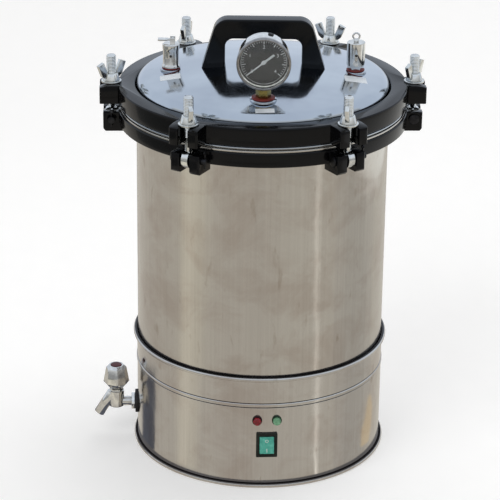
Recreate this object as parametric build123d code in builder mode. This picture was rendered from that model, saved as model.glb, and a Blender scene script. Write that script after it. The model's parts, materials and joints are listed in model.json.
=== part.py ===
from build123d import *
import os
from math import asin, cos, radians, sin, sqrt

os.makedirs("parts", exist_ok=True)

# Electric steam steriliser. Millimetres, +Z up. The origin is on the table under
# the chamber's axis, the switch faces -Y and the drain tap is on the -X side.

# Chamber
chamber_radius = 150.0
chamber_wall = 1.5
chamber_setting = 34.0  # underside below the base shell's top
chamber_depth = 325.6  # from that underside to the rim
chamber_corner_radius = 18.0
chamber_mouth_radius = 3.0
chamber_flange_width = 19.5
chamber_flange_thickness = 2.5

# Base shell and its bottom plate
base_shell_height = 146.0
base_shell_wall = 0.8
base_shell_fit = 0.2
edge_roll_radius = 2.6
foot_flat_depth = 0.3
swage_drop = 3.5  # below the chamber's underside
swage_radius = 2.6
swage_inset = 1.0
shelf_width = 28.0
shelf_thickness = 1.5
weep_hole_radius = 2.75
weep_hole_rise = 9.8  # above the chamber's underside
weep_hole_angle = -162.0
base_plate_height = 3.5
base_plate_thickness = 1.2
base_plate_fit = 0.3
base_screw_count = 4
base_screw_radius = 1.5
base_screw_head_radius = 3.2
base_tab_length = 12.0
base_tab_width = 16.0
base_tab_thickness = 1.5
vent_slot_count = 12
vent_slot_length = 34.0
vent_slot_width = 5.0
vent_circle_radius = 95.0

# Clamp rings and their lugs
ring_overhang = 2.0  # beyond the sheet flanges
ring_edge = 1.2
body_ring_height = 17.2
body_ring_fit = 0.3
lid_ring_height = 22.1
lid_ring_gap = 1.6
clamp_count = 6
clamp_turn = -1.5
bolt_offset = 8.0  # bolt axis outside the rings
lug_width = 37.0
lug_corner_radius = 2.5
lug_slot_width = 13.0
lug_slot_corner = 3.0
lid_lug_reach = 14.0  # beyond the bolt axis
body_lug_reach = 10.0
body_lug_drop = 8.9  # below the lower ring
body_lug_top_drop = 3.1  # below the ring's top
body_lug_root = 20.0  # inside the bolt axis
body_lug_chamfer = 3.0

# Swing bolts, washers and wing nuts
hinge_drop = 11.1  # pin axis below the lower ring's top
hinge_pin_radius = 4.0
hinge_pin_tail = 5.5
hinge_pin_head_radius = 6.0
hinge_pin_head_height = 2.2
running_clearance = 0.06
split_pin_radius = 1.0
split_pin_length = 17.0
split_pin_eye_radius = 2.4
split_pin_setback = 2.6
bolt_eye_radius = 10.5
bolt_eye_width = 8.0
bolt_eye_clearance = 0.8
bolt_neck_radius = 3.8
bolt_thread_radius = 5.9
bolt_thread_length = 48.0
bolt_length = 74.5  # pin axis to tip
bolt_tip_chamfer = 1.0
washer_radius = 12.0
washer_thickness = 2.0
washer_hole_clearance = 0.35
seat_gap = 0.1
nut_base_radius = 10.2
nut_base_height = 3.0
nut_top_radius = 7.8
nut_height = 10.0
wing_width = 9.0
wing_length = 16.0
wing_thickness = 2.8
wing_tilt = 37.0
wing_offset = 13.6
wing_height = 12.0
wing_corner_radius = 0.8
nut_turns = [56.0, -24.0, 72.0, 40.0, 113.0, 72.0]  # how each wing nut stopped

# Lid
gasket_thickness = 2.0
gasket_inner_offset = 3.0  # from the chamber's bore
gasket_width = 13.0
lid_flange_thickness = 3.3
lid_skirt_offset = 1.2
lid_wall = 1.5
lid_height = 44.3  # from the flange's top to the crown
lid_crown_radius = 785.0
lid_shoulder_radius = 11.0
fitting_circle_radius = 110.0
fittings_turn = -3.7
stud_radius = 6.0
stud_hole_clearance = 0.2
seal_height = 3.4  # washer's top over the crown at the stud
seal_fit = 0.05
valve_seal_radius = 12.8
gauge_seal_radius = 15.8
lid_nut_radius = 11.0
lid_nut_height = 8.0
stud_drop = 15.0  # stud end below the lid's underside

# Handle
handle_half_width = 74.0
handle_top_half_width = 55.6
handle_height = 56.8  # top over the crown
handle_bar_height = 23.4
handle_opening_half_width = 45.6
handle_depth = 21.4
handle_top_radius = 18.0
handle_opening_radius = 10.0
handle_edge_radius = 2.2
handle_screw_offset = 60.0
handle_screw_radius = 3.0
handle_screw_head_radius = 5.2
handle_screw_head_height = 3.5
handle_screw_depth = 18.0

# Pressure gauge
gauge_centre_height = 37.8  # over the crown's apex
gauge_case_radius = 30.0
gauge_case_depth = 28.0
gauge_case_wall = 1.0
gauge_front_offset = 10.5  # case front ahead of the stem
gauge_bezel_radius = 31.3
gauge_bezel_opening = 28.2
gauge_bezel_depth = 6.0
gauge_bezel_front = 2.0
gauge_bezel_round = 1.2
gauge_glass_thickness = 1.5
gauge_dial_thickness = 0.8
gauge_dial_setback = 8.0
gauge_hex_radius = 8.9
gauge_neck_radius = 5.0
gauge_shaft_radius = 1.4
gauge_pointer_length = 24.0
gauge_pointer_tail = 14.6
gauge_pointer_width = 2.2
gauge_pointer_tail_width = 3.6
gauge_pointer_thickness = 0.7
gauge_pointer_lift = 2.2
gauge_hub_radius = 3.4
gauge_rest_angle = 220.0  # pointer direction at no pressure

# Release valve and its tube
release_body_radius = 10.2
release_waist_radius = 9.6
release_body_height = 28.5
release_foot_radius = 11.0
release_foot_height = 4.0
release_collar_height = 9.0
valve_port_radius = 1.6
release_port_height = 15.0
release_post_width = 9.6
release_post_length = 6.0
release_post_height = 7.4
lever_pivot_offset = 2.0
lever_pivot_height = 4.6
lever_slot_width = 6.0
lever_slot_gap = 0.3
lever_eye_radius = 2.4
lever_thickness = 2.0
lever_width = 8.6
lever_length = 17.5
lever_pin_radius = 1.1
relief_tube_radius = 4.0
relief_tube_wall = 0.8
relief_tube_offset = 129.0
relief_tube_bottom = 205.0
relief_bend_radius = 12.0

# Safety valve
safety_body_radius = 10.85
safety_body_height = 33.2
safety_hex_radius = 9.8
safety_hex_height = 5.1
safety_port_height = 19.0
safety_stem_radius = 2.2
safety_stem_head_radius = 3.0
safety_stem_rise = 3.4
safety_ring_radius = 3.9
safety_ring_wire = 1.2
safety_stem_depth = 14.0
valve_top_round = 1.0

# Drain
tap_height = 44.2
tap_reach = 26.7  # valve axis outside the base shell
tap_pipe_radius = 6.0
tap_inner_reach = 14.0
tap_washer_radius = 14.7
tap_washer_thickness = 3.2
tap_nut_radius = 10.4
tap_nut_thickness = 4.8
tap_barrel_radius = 9.5
tap_barrel_drop = 5.5
tap_barrel_top = 15.5
tap_bonnet_radius = 8.6
tap_bonnet_height = 2.8
spout_tilt = 31.5
spout_radius = 6.5
spout_hose_length = 14.0  # the end a hose is pushed on to
spout_root_radius = 6.7
spout_bore_radius = 4.5
spout_start = 10.0
spout_length = 41.9  # from the valve axis, along the spout
spout_pivot_rise = 20.5
spout_bore_depth = 26.0
tap_bore_radius = 3.5
tap_bore_overrun = 7.0
spindle_radius = 3.0
knob_side_count = 8
knob_gap = 1.7
knob_sections = [(0.0, 9.5), (7.9, 16.3), (27.2, 12.8), (30.4, 9.6)]  # height, corner radius
knob_cap_radius = 7.0
knob_cap_recess = 1.6
knob_cap_height = 2.2
drain_pipe_radius = 5.0
drain_pipe_wall = 1.0
drain_bend_radius = 14.0
drain_inset = 40.0  # chamber outlet inside the chamber wall
drain_socket_depth = 8.0
drain_collar_radius = 9.0
drain_collar_height = 5.0

# Switch, lamps and mains inlet
switch_height = 57.0
switch_bezel_width = 25.6
switch_bezel_height = 31.6
switch_bezel_thickness = 2.4
switch_body_width = 22.0
switch_body_height = 28.0
switch_body_depth = 20.0
switch_opening_width = 18.0
switch_opening_height = 23.2
switch_opening_depth = 16.0
switch_blade_length = 8.0
switch_blade_width = 6.3
switch_blade_thickness = 0.8
rocker_width = 17.2
rocker_height = 21.0
rocker_back_height = 10.0
rocker_pivot_depth = 4.5
rocker_pin_radius = 1.5
rocker_pin_length = 1.2
rocker_tilt = 9.0
rocker_rise = 1.0
rocker_depth = 3.0
lamp_height = 89.3
lamp_spacing = 23.6
lamp_lens_radius = 5.9
lamp_lens_rim = 1.4
lamp_lens_height = 4.6
lamp_body_radius = 4.4
lamp_body_depth = 20.0
inlet_height = 58.0
inlet_flange_width = 50.0
inlet_flange_height = 25.0
inlet_flange_thickness = 2.5
inlet_flange_radius = 5.0
inlet_body_width = 28.0
inlet_body_height = 20.5
inlet_body_depth = 21.0
inlet_socket_width = 24.5
inlet_socket_height = 16.8
inlet_socket_depth = 18.0
inlet_blade_setback = 6.0
inlet_blade_offset = 2.0
inlet_blade_thickness = 2.0
inlet_blade_width = 4.0
inlet_blade_spacing = 7.0
inlet_screw_spacing = 40.0
inlet_screw_radius = 1.6
cutout_clearance = 0.2

# Heater, cut-out, terminals, rack and basket
heater_tube_radius = 4.2
heater_leg_spacing = 40.0
heater_leg_offset = 50.0
heater_loop_width = 190.0
heater_loop_length = 170.0
heater_rise = 17.0
heater_tail = 22.0
heater_leg_bend = 12.0
heater_loop_bend = 40.0
heater_nut_radius = 10.0
heater_nut_height = 5.0
cutout_radius = 10.0
cutout_height = 8.0
cutout_offset = -45.0
terminal_width = 54.0
terminal_depth = 20.0
terminal_height = 16.0
terminal_offset = 70.0
terminal_wells = 4
terminal_well_radius = 3.4
terminal_well_depth = 9.0
basket_clearance = 12.0  # between the chamber's wall and the basket or rack
rack_radius = chamber_radius - basket_clearance
rack_thickness = 1.5
rack_leg_height = 34.0
rack_leg_radius = 4.0
rack_leg_circle = rack_radius - 20.0
rack_hole_radius = 8.0
rack_hole_circle = rack_radius - 60.0
rack_hole_count = 10
basket_radius = chamber_radius - basket_clearance
basket_wall = 1.0
basket_height = 276.0
basket_gap = 0.3
basket_rim_radius = 2.0
basket_corner_radius = 6.0
basket_hole_radius = 7.0
basket_hole_circles = [(38.0, 6), (82.0, 12)]
channel_clearance = 1.6
channel_wall = 1.0
channel_height = 240.0
bail_wire_radius = 2.5
bail_inset = 10.0
bail_stub_radius = 2.0
bail_ear_width = 15.0
bail_ear_thickness = 2.4
bail_ear_rise = 10.0
bail_pivot_rise = 5.0
bail_ear_drop = 16.0

# Derived heights and radii
chamber_floor_height = base_shell_height - chamber_setting
swage_height = chamber_floor_height - swage_drop
weep_hole_height = chamber_floor_height + weep_hole_rise
chamber_outer_radius = chamber_radius + chamber_wall
chamber_flange_radius = chamber_outer_radius + chamber_flange_width
chamber_inner_floor = chamber_floor_height + chamber_wall
chamber_rim_height = chamber_floor_height + chamber_depth
base_inner_radius = chamber_outer_radius + base_shell_fit
base_outer_radius = base_inner_radius + base_shell_wall
roll_centre_radius = base_inner_radius + edge_roll_radius
base_plate_top = base_plate_height + base_plate_thickness
base_screw_circle = base_inner_radius - base_tab_length / 2
base_screw_clearance = base_plate_fit / 4
ring_outer_radius = chamber_flange_radius + ring_overhang
bolt_circle_radius = ring_outer_radius + bolt_offset
body_ring_top = chamber_rim_height - chamber_flange_thickness
body_ring_bottom = body_ring_top - body_ring_height
hinge_height = body_ring_top - hinge_drop
bolt_tip_height = hinge_height + bolt_length
lid_flange_bottom = chamber_rim_height + gasket_thickness
lid_flange_top = lid_flange_bottom + lid_flange_thickness
lid_ring_top = lid_flange_top + lid_ring_height
lid_skirt_radius = chamber_radius + lid_skirt_offset
lid_apex_height = lid_flange_top + lid_height
crown_centre_height = lid_apex_height - lid_crown_radius
seat_height = lid_ring_top + seat_gap
nut_seat_height = seat_height + washer_thickness
clamp_angles = [clamp_turn + 360 / clamp_count * n for n in range(clamp_count)]


def crown_height(radius, wall=0.0):
    """Height of the lid's crown at a radius, or of its underside for a wall."""
    return crown_centre_height + sqrt((lid_crown_radius - wall) ** 2 - radius ** 2)


def upright_plane(angle, radius=0.0, height=0.0):
    """Plane through the Z direction: local x runs outwards and local y up."""
    out = Vector(cos(radians(angle)), sin(radians(angle)), 0)
    return Plane(origin=out * radius + Vector(0, 0, height), x_dir=out, z_dir=out.cross(Vector(0, 0, 1)))


def facing_plane(angle, height, radius=0.0):
    """Plane whose normal points outwards at an angle and whose local y is up."""
    out = Vector(cos(radians(angle)), sin(radians(angle)), 0)
    return Plane(origin=out * radius + Vector(0, 0, height), x_dir=Vector(0, 0, 1).cross(out), z_dir=out)


def lid_plane(x, y, height, turn=(0, 0, 0)):
    """Plane in the lid's own frame, which is turned a little to the switch."""
    return Plane(Location((0, 0, 0), (0, 0, fittings_turn)) * Location((x, y, height), turn))


front = -90
back = 90
tap_side = 180
crown_ball = Solid.make_sphere(lid_crown_radius + seal_fit, angle1=-90).moved(
    Location((0, 0, crown_centre_height))
)
under_ball = Solid.make_sphere(lid_crown_radius - lid_wall - seal_fit, angle1=-90).moved(
    Location((0, 0, crown_centre_height))
)

# Base shell: sheet with a rolled foot and lip, a swaged bead and a welded shelf
with BuildPart() as base_shell:
    with BuildSketch(Plane.XZ):
        with Locations((base_inner_radius + base_shell_wall / 2, base_shell_height / 2)):
            Rectangle(base_shell_wall, base_shell_height - 2 * edge_roll_radius)
        with Locations(
            (roll_centre_radius, edge_roll_radius - foot_flat_depth),
            (roll_centre_radius, base_shell_height - edge_roll_radius),
        ):
            Circle(edge_roll_radius)
        with Locations((roll_centre_radius, -edge_roll_radius)):
            Rectangle(4 * edge_roll_radius, 2 * edge_roll_radius, mode=Mode.SUBTRACT)
        with Locations((base_outer_radius - swage_inset, swage_height)):
            Circle(swage_radius)
            Circle(swage_radius - base_shell_wall, mode=Mode.SUBTRACT)
        with Locations((base_inner_radius - swage_radius, swage_height)):
            Rectangle(2 * swage_radius, 4 * swage_radius, mode=Mode.SUBTRACT)
        with Locations((base_inner_radius - shelf_width / 2, chamber_floor_height - shelf_thickness / 2)):
            Rectangle(shelf_width, shelf_thickness)
    revolve(axis=Axis.Z)
    with BuildSketch(Plane.XY.offset(base_plate_top)):
        with PolarLocations(base_screw_circle, base_screw_count, start_angle=45):
            Rectangle(base_tab_length, base_tab_width)
        with PolarLocations(base_screw_circle, base_screw_count, start_angle=45):
            Circle(base_screw_radius + base_screw_clearance, mode=Mode.SUBTRACT)
    extrude(amount=base_tab_thickness)
    with BuildSketch(facing_plane(front, switch_height)):
        Rectangle(switch_body_width + 2 * cutout_clearance, switch_body_height + 2 * cutout_clearance)
        with Locations((0, lamp_height - switch_height)):
            with GridLocations(lamp_spacing, 0, 2, 1):
                Circle(lamp_body_radius + cutout_clearance)
    extrude(amount=base_outer_radius + edge_roll_radius, mode=Mode.SUBTRACT)
    with BuildSketch(facing_plane(back, inlet_height)):
        Rectangle(inlet_body_width + 2 * cutout_clearance, inlet_body_height + 2 * cutout_clearance)
        with GridLocations(inlet_screw_spacing, 0, 2, 1):
            Circle(inlet_screw_radius)
    extrude(amount=base_outer_radius + edge_roll_radius, mode=Mode.SUBTRACT)
    with BuildSketch(facing_plane(tap_side, tap_height)):
        Circle(tap_pipe_radius + cutout_clearance)
    extrude(amount=base_outer_radius + edge_roll_radius, mode=Mode.SUBTRACT)
    with BuildSketch(facing_plane(weep_hole_angle, weep_hole_height)):
        Circle(weep_hole_radius)
    extrude(amount=base_outer_radius + edge_roll_radius, mode=Mode.SUBTRACT)
base_shell.part.label = "base_shell"
export_step(base_shell.part, "parts/base_shell.step")

# Base plate: vented bottom cover, held up to the shell's tabs
with BuildPart() as base_plate:
    with BuildSketch(Plane.XY.offset(base_plate_height)):
        Circle(base_inner_radius - base_plate_fit)
        with PolarLocations(vent_circle_radius, vent_slot_count):
            SlotOverall(vent_slot_length, vent_slot_width, mode=Mode.SUBTRACT)
        with PolarLocations(base_screw_circle, base_screw_count, start_angle=45):
            Circle(base_screw_radius + base_screw_clearance, mode=Mode.SUBTRACT)
    extrude(amount=base_plate_thickness)
    with Locations((0, 0, base_plate_height)):
        with PolarLocations(base_screw_circle, base_screw_count, start_angle=45):
            Cone(
                base_screw_head_radius + base_screw_clearance,
                base_screw_radius + base_screw_clearance,
                base_plate_thickness,
                align=(Align.CENTER, Align.CENTER, Align.MIN),
                mode=Mode.SUBTRACT,
            )
base_plate.part.label = "base_plate"
export_step(base_plate.part, "parts/base_plate.step")

with BuildPart() as base_plate_screws:
    with Locations((0, 0, base_plate_height)):
        with PolarLocations(base_screw_circle, base_screw_count, start_angle=45):
            Cone(
                base_screw_head_radius,
                base_screw_radius,
                base_plate_thickness,
                align=(Align.CENTER, Align.CENTER, Align.MIN),
            )
    with BuildSketch(Plane.XY.offset(base_plate_height)):
        with PolarLocations(base_screw_circle, base_screw_count, start_angle=45):
            Circle(base_screw_radius)
    extrude(amount=base_plate_thickness + 2 * base_tab_thickness)
base_plate_screws.part.label = "base_plate_screws"
export_step(base_plate_screws.part, "parts/base_plate_screws.step")

# Chamber: deep-drawn pot with a turned-out flange
with BuildPart() as chamber:
    with BuildSketch(Plane.XZ) as chamber_profile:
        with BuildLine():
            Polyline(
                (0, chamber_floor_height),
                (chamber_outer_radius, chamber_floor_height),
                (chamber_outer_radius, body_ring_top),
                (chamber_flange_radius, body_ring_top),
                (chamber_flange_radius, chamber_rim_height),
                (chamber_radius, chamber_rim_height),
                (chamber_radius, chamber_inner_floor),
                (0, chamber_inner_floor),
                close=True,
            )
        make_face()
        corner = chamber_profile.vertices().sort_by_distance((chamber_outer_radius, chamber_floor_height))
        fillet(corner[0], chamber_corner_radius)
        corner = chamber_profile.vertices().sort_by_distance((chamber_radius, chamber_inner_floor))
        fillet(corner[0], chamber_corner_radius - chamber_wall)
        corner = chamber_profile.vertices().sort_by_distance((chamber_radius, chamber_rim_height))
        fillet(corner[0], chamber_mouth_radius)
    revolve(axis=Axis.Z)
    with BuildSketch(Plane.XY.offset(chamber_floor_height - chamber_wall)):
        with Locations((0, heater_leg_offset)):
            with GridLocations(heater_leg_spacing, 0, 2, 1):
                Circle(heater_tube_radius + cutout_clearance)
        with Locations((drain_inset - chamber_outer_radius, 0)):
            Circle(drain_pipe_radius + cutout_clearance)
    extrude(amount=3 * chamber_wall, mode=Mode.SUBTRACT)
chamber.part.label = "chamber"
export_step(chamber.part, "parts/chamber.step")

# Lower clamp ring: under the chamber's flange, with six forked lugs
bolt_planes = [upright_plane(angle) for angle in clamp_angles]
body_ring_inner_radius = chamber_outer_radius + body_ring_fit
body_lug_bottom = body_ring_bottom - body_lug_drop
body_lug_height = body_ring_top - body_lug_top_drop - body_lug_bottom
body_lug_length = body_lug_root + body_lug_reach
slot_root = bolt_eye_radius + bolt_eye_clearance
body_lug_middle = bolt_circle_radius + body_lug_reach - body_lug_length / 2
slot_length = slot_root + lid_lug_reach + lug_corner_radius
with BuildPart() as body_ring:
    with BuildSketch(Plane.XY.offset(body_lug_bottom)):
        with PolarLocations(body_lug_middle, clamp_count, clamp_turn):
            RectangleRounded(body_lug_length, lug_width, lug_corner_radius)
    extrude(amount=body_lug_height)
    with BuildSketch(*bolt_planes):
        with BuildLine():
            Polyline(
                (bolt_circle_radius + body_lug_reach - body_lug_chamfer, body_lug_bottom),
                (bolt_circle_radius + body_lug_reach, body_lug_bottom + body_lug_chamfer),
                (bolt_circle_radius + body_lug_reach, body_lug_bottom),
                close=True,
            )
        make_face()
    extrude(amount=lug_width / 2, both=True, mode=Mode.SUBTRACT)
    with BuildSketch(Plane.XZ) as body_ring_profile:
        with Locations(
            ((ring_outer_radius + body_ring_inner_radius) / 2, (body_ring_top + body_ring_bottom) / 2)
        ):
            Rectangle(ring_outer_radius - body_ring_inner_radius, body_ring_height)
        chamfer(body_ring_profile.vertices(), ring_edge)
    revolve(axis=Axis.Z)
    with BuildSketch(Plane.XY.offset(body_lug_bottom)):
        with PolarLocations(bolt_circle_radius - slot_root + slot_length / 2, clamp_count, clamp_turn):
            RectangleRounded(slot_length, lug_slot_width, lug_slot_corner)
    extrude(amount=body_ring_top - body_lug_bottom, mode=Mode.SUBTRACT)
    with BuildSketch(*bolt_planes):
        with Locations((bolt_circle_radius, hinge_height)):
            Circle(hinge_pin_radius + running_clearance)
    extrude(amount=lug_width, both=True, mode=Mode.SUBTRACT)
body_ring.part.label = "body_ring"
export_step(body_ring.part, "parts/body_ring.step")

# Upper clamp ring: its lugs are crowned about the hinge pins, so that a washer
# swings off them with its bolt
lid_ring_inner_radius = lid_skirt_radius + lid_ring_gap
crown_seat_radius = lid_ring_top - hinge_height
lid_lug_length = lid_lug_reach + bolt_offset + ring_overhang
crown_sweep = asin(lid_lug_reach / crown_seat_radius)


def seat_point(sweep):
    """Point of a lug's crowned seat at an angle about the hinge pin."""
    rise = crown_seat_radius * cos(sweep)
    return (bolt_circle_radius + crown_seat_radius * sin(sweep), hinge_height + rise)


lug_slot_root = lug_slot_width / 2
lid_slot_length = lug_slot_root + lid_lug_reach + lug_slot_width
lid_slot_middle = bolt_circle_radius - lug_slot_root + lid_slot_length / 2
with BuildPart() as lid_ring:
    with BuildSketch(Plane.XZ) as lid_ring_profile:
        lid_ring_middle = (ring_outer_radius + lid_ring_inner_radius) / 2
        with Locations((lid_ring_middle, (lid_ring_top + lid_flange_top) / 2)):
            Rectangle(ring_outer_radius - lid_ring_inner_radius, lid_ring_height)
        chamfer(lid_ring_profile.vertices(), ring_edge)
    revolve(axis=Axis.Z)
    with BuildSketch(Plane.XY.offset(lid_flange_top)):
        with PolarLocations(bolt_circle_radius + lid_lug_reach - lid_lug_length / 2, clamp_count, clamp_turn):
            RectangleRounded(lid_lug_length, lug_width, lug_corner_radius)
    extrude(amount=lid_ring_height)
    with BuildSketch(Plane.XY.offset(lid_flange_top)):
        with PolarLocations(lid_slot_middle, clamp_count, clamp_turn):
            SlotOverall(lid_slot_length, lug_slot_width)
    extrude(amount=lid_ring_height, mode=Mode.SUBTRACT)
    with BuildSketch(*bolt_planes):
        with BuildLine():
            seat = ThreePointArc(seat_point(0), seat_point(crown_sweep / 2), seat_point(crown_sweep))
            Polyline(
                seat @ 1,
                (bolt_circle_radius + lid_lug_reach + ring_edge, (seat @ 1).Y),
                (bolt_circle_radius + lid_lug_reach + ring_edge, lid_ring_top + ring_edge),
                (bolt_circle_radius, lid_ring_top + ring_edge),
                seat @ 0,
            )
        make_face()
    extrude(amount=lug_width, both=True, mode=Mode.SUBTRACT)
lid_ring.part.label = "lid_ring"
export_step(lid_ring.part, "parts/lid_ring.step")

# Hinge pins, each with a head at one end and a split pin through the other
with BuildPart() as hinge_pins:
    with BuildSketch(*[plane.offset(-lug_width / 2 - hinge_pin_tail) for plane in bolt_planes]):
        with Locations((bolt_circle_radius, hinge_height)):
            Circle(hinge_pin_radius)
    extrude(amount=lug_width + hinge_pin_tail + hinge_pin_head_height)
    with BuildSketch(*[plane.offset(lug_width / 2) for plane in bolt_planes]):
        with Locations((bolt_circle_radius, hinge_height)):
            Circle(hinge_pin_head_radius)
    extrude(amount=hinge_pin_head_height)
    tail = -lug_width / 2 - hinge_pin_tail + split_pin_setback
    split_pin_place = (bolt_circle_radius, hinge_height, 0)
    split_planes = [Plane(plane.offset(tail).from_local_coords(split_pin_place)) for plane in bolt_planes]
    with BuildSketch(*[plane.offset(-split_pin_length / 2) for plane in split_planes]):
        Circle(split_pin_radius + running_clearance)
    extrude(amount=split_pin_length, mode=Mode.SUBTRACT)
    with BuildSketch(*[plane.offset(-split_pin_length / 2) for plane in split_planes]):
        Circle(split_pin_radius)
    extrude(amount=split_pin_length)
    eye_rise = split_pin_length / 2 + split_pin_eye_radius - split_pin_radius / 2
    eye_planes = [
        Plane(
            plane.offset(tail).from_local_coords((bolt_circle_radius, hinge_height + eye_rise, 0)),
            x_dir=plane.x_dir,
            z_dir=plane.z_dir,
        )
        for plane in bolt_planes
    ]
    with BuildSketch(*[plane.offset(-split_pin_radius * 0.8) for plane in eye_planes]):
        Circle(split_pin_eye_radius)
        Circle(split_pin_eye_radius - split_pin_radius * 1.2, mode=Mode.SUBTRACT)
    extrude(amount=split_pin_radius * 1.6)
hinge_pins.part.label = "hinge_pins"
export_step(hinge_pins.part, "parts/hinge_pins.step")

# Swing bolts, washers and wing nuts, one of each to a clamp
for number, (angle, nut_turn) in enumerate(zip(clamp_angles, nut_turns), start=1):
    bolt_plane = upright_plane(angle)
    axis_point = bolt_plane.from_local_coords((bolt_circle_radius, 0, 0))

    with BuildPart() as swing_bolt:
        with BuildSketch(bolt_plane):
            with Locations((bolt_circle_radius, hinge_height)):
                Circle(bolt_eye_radius)
        extrude(amount=bolt_eye_width / 2, both=True)
        with BuildSketch(Plane(axis_point).offset(hinge_height)):
            Circle(bolt_neck_radius)
        extrude(amount=bolt_length - bolt_thread_length)
        with BuildSketch(Plane(axis_point).offset(bolt_tip_height - bolt_thread_length)):
            Circle(bolt_thread_radius)
        extrude(amount=bolt_thread_length)
        thread_ends = swing_bolt.edges().filter_by(GeomType.CIRCLE).group_by(Axis.Z)
        chamfer(thread_ends[-1], bolt_tip_chamfer)
        with BuildSketch(bolt_plane):
            with Locations((bolt_circle_radius, hinge_height)):
                Circle(hinge_pin_radius + running_clearance)
        extrude(amount=bolt_eye_width, both=True, mode=Mode.SUBTRACT)
    swing_bolt.part.label = f"swing_bolt_{number}"
    export_step(swing_bolt.part, f"parts/swing_bolt_{number}.step")

    with BuildPart() as clamp_washer:
        with BuildSketch(Plane(axis_point).offset(seat_height)):
            Circle(washer_radius)
            Circle(bolt_thread_radius + washer_hole_clearance, mode=Mode.SUBTRACT)
        extrude(amount=washer_thickness)
    clamp_washer.part.label = f"clamp_washer_{number}"
    export_step(clamp_washer.part, f"parts/clamp_washer_{number}.step")

    wing_x = Vector(cos(radians(nut_turn)), sin(radians(nut_turn)), 0)
    wing_plane = Plane(
        axis_point + Vector(0, 0, nut_seat_height), x_dir=wing_x, z_dir=wing_x.cross(Vector(0, 0, 1))
    )
    with BuildPart() as wing_nut:
        with BuildSketch(wing_plane):
            with BuildLine():
                Polyline(
                    (0, 0),
                    (nut_base_radius, 0),
                    (nut_base_radius, nut_base_height),
                    (nut_top_radius, nut_height),
                    (0, nut_height),
                    close=True,
                )
            make_face()
        revolve(axis=Axis(wing_plane.origin, (0, 0, 1)))
        with BuildSketch(wing_plane):
            for side in (-1, 1):
                with Locations((side * wing_offset, wing_height)):
                    RectangleRounded(wing_width, wing_length, wing_corner_radius, rotation=-side * wing_tilt)
        extrude(amount=wing_thickness / 2, both=True)
        with BuildSketch(Plane(axis_point).offset(nut_seat_height)):
            Circle(bolt_thread_radius + running_clearance)
        extrude(amount=2 * wing_length, mode=Mode.SUBTRACT)
    wing_nut.part.label = f"wing_nut_{number}"
    export_step(wing_nut.part, f"parts/wing_nut_{number}.step")

# Lid: shallow pressed crown with a rounded shoulder, a skirt and a hemmed flange
stud_spots = [(-fitting_circle_radius, 0), (fitting_circle_radius, 0), (0, -fitting_circle_radius)]
with BuildPart() as lid:
    with BuildSketch(Plane.XZ) as lid_profile:
        skirt_inner_radius = lid_skirt_radius - lid_wall
        with BuildLine():
            outer = ThreePointArc(
                (0, lid_apex_height),
                (lid_skirt_radius / 2, crown_height(lid_skirt_radius / 2)),
                (lid_skirt_radius, crown_height(lid_skirt_radius)),
            )
            Polyline(
                outer @ 1,
                (lid_skirt_radius, lid_flange_top),
                (chamber_flange_radius, lid_flange_top),
                (chamber_flange_radius, lid_flange_bottom),
                (skirt_inner_radius, lid_flange_bottom),
                (skirt_inner_radius, crown_height(skirt_inner_radius, lid_wall)),
            )
            ThreePointArc(
                (skirt_inner_radius, crown_height(skirt_inner_radius, lid_wall)),
                (skirt_inner_radius / 2, crown_height(skirt_inner_radius / 2, lid_wall)),
                (0, lid_apex_height - lid_wall),
            )
            Line((0, lid_apex_height - lid_wall), (0, lid_apex_height))
        make_face()
        corner = lid_profile.vertices().sort_by_distance((lid_skirt_radius, crown_height(lid_skirt_radius)))
        fillet(corner[0], lid_shoulder_radius)
        inner_corner = (skirt_inner_radius, crown_height(skirt_inner_radius, lid_wall))
        corner = lid_profile.vertices().sort_by_distance(inner_corner)
        fillet(corner[0], lid_shoulder_radius - lid_wall)
    revolve(axis=Axis.Z)
    with BuildSketch(lid_plane(0, 0, lid_flange_top)):
        with Locations(*stud_spots):
            Circle(stud_radius + stud_hole_clearance)
        with GridLocations(2 * handle_screw_offset, 0, 2, 1):
            Circle(handle_screw_radius + cutout_clearance)
    extrude(amount=2 * lid_height, mode=Mode.SUBTRACT)
lid.part.label = "lid"
export_step(lid.part, "parts/lid.step")

with BuildPart() as lid_gasket:
    with BuildSketch(Plane.XY.offset(chamber_rim_height)):
        Circle(chamber_radius + gasket_inner_offset + gasket_width)
        Circle(chamber_radius + gasket_inner_offset, mode=Mode.SUBTRACT)
    extrude(amount=gasket_thickness)
lid_gasket.part.label = "lid_gasket"
export_step(lid_gasket.part, "parts/lid_gasket.step")

# Soft seals under the fittings: flat on top, shaped to the crown below
seal_top = crown_height(fitting_circle_radius) + seal_height
seal_radii = [valve_seal_radius, valve_seal_radius, gauge_seal_radius]
with BuildPart() as lid_seals:
    for spot, radius in zip(stud_spots, seal_radii):
        with BuildSketch(lid_plane(*spot, seal_top)):
            Circle(radius)
            Circle(stud_radius + stud_hole_clearance, mode=Mode.SUBTRACT)
        extrude(amount=-3 * seal_height)
    add(crown_ball, mode=Mode.SUBTRACT)
lid_seals.part.label = "lid_seals"
export_step(lid_seals.part, "parts/lid_seals.step")

nut_bottom = crown_height(fitting_circle_radius, lid_wall) - lid_nut_height
with BuildPart() as lid_nuts:
    for spot in stud_spots:
        with BuildSketch(lid_plane(*spot, nut_bottom)):
            RegularPolygon(lid_nut_radius, 6)
            Circle(stud_radius + running_clearance, mode=Mode.SUBTRACT)
        extrude(amount=1.5 * lid_nut_height)
    add(under_ball, mode=Mode.INTERSECT)
lid_nuts.part.label = "lid_nuts"
export_step(lid_nuts.part, "parts/lid_nuts.step")

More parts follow.
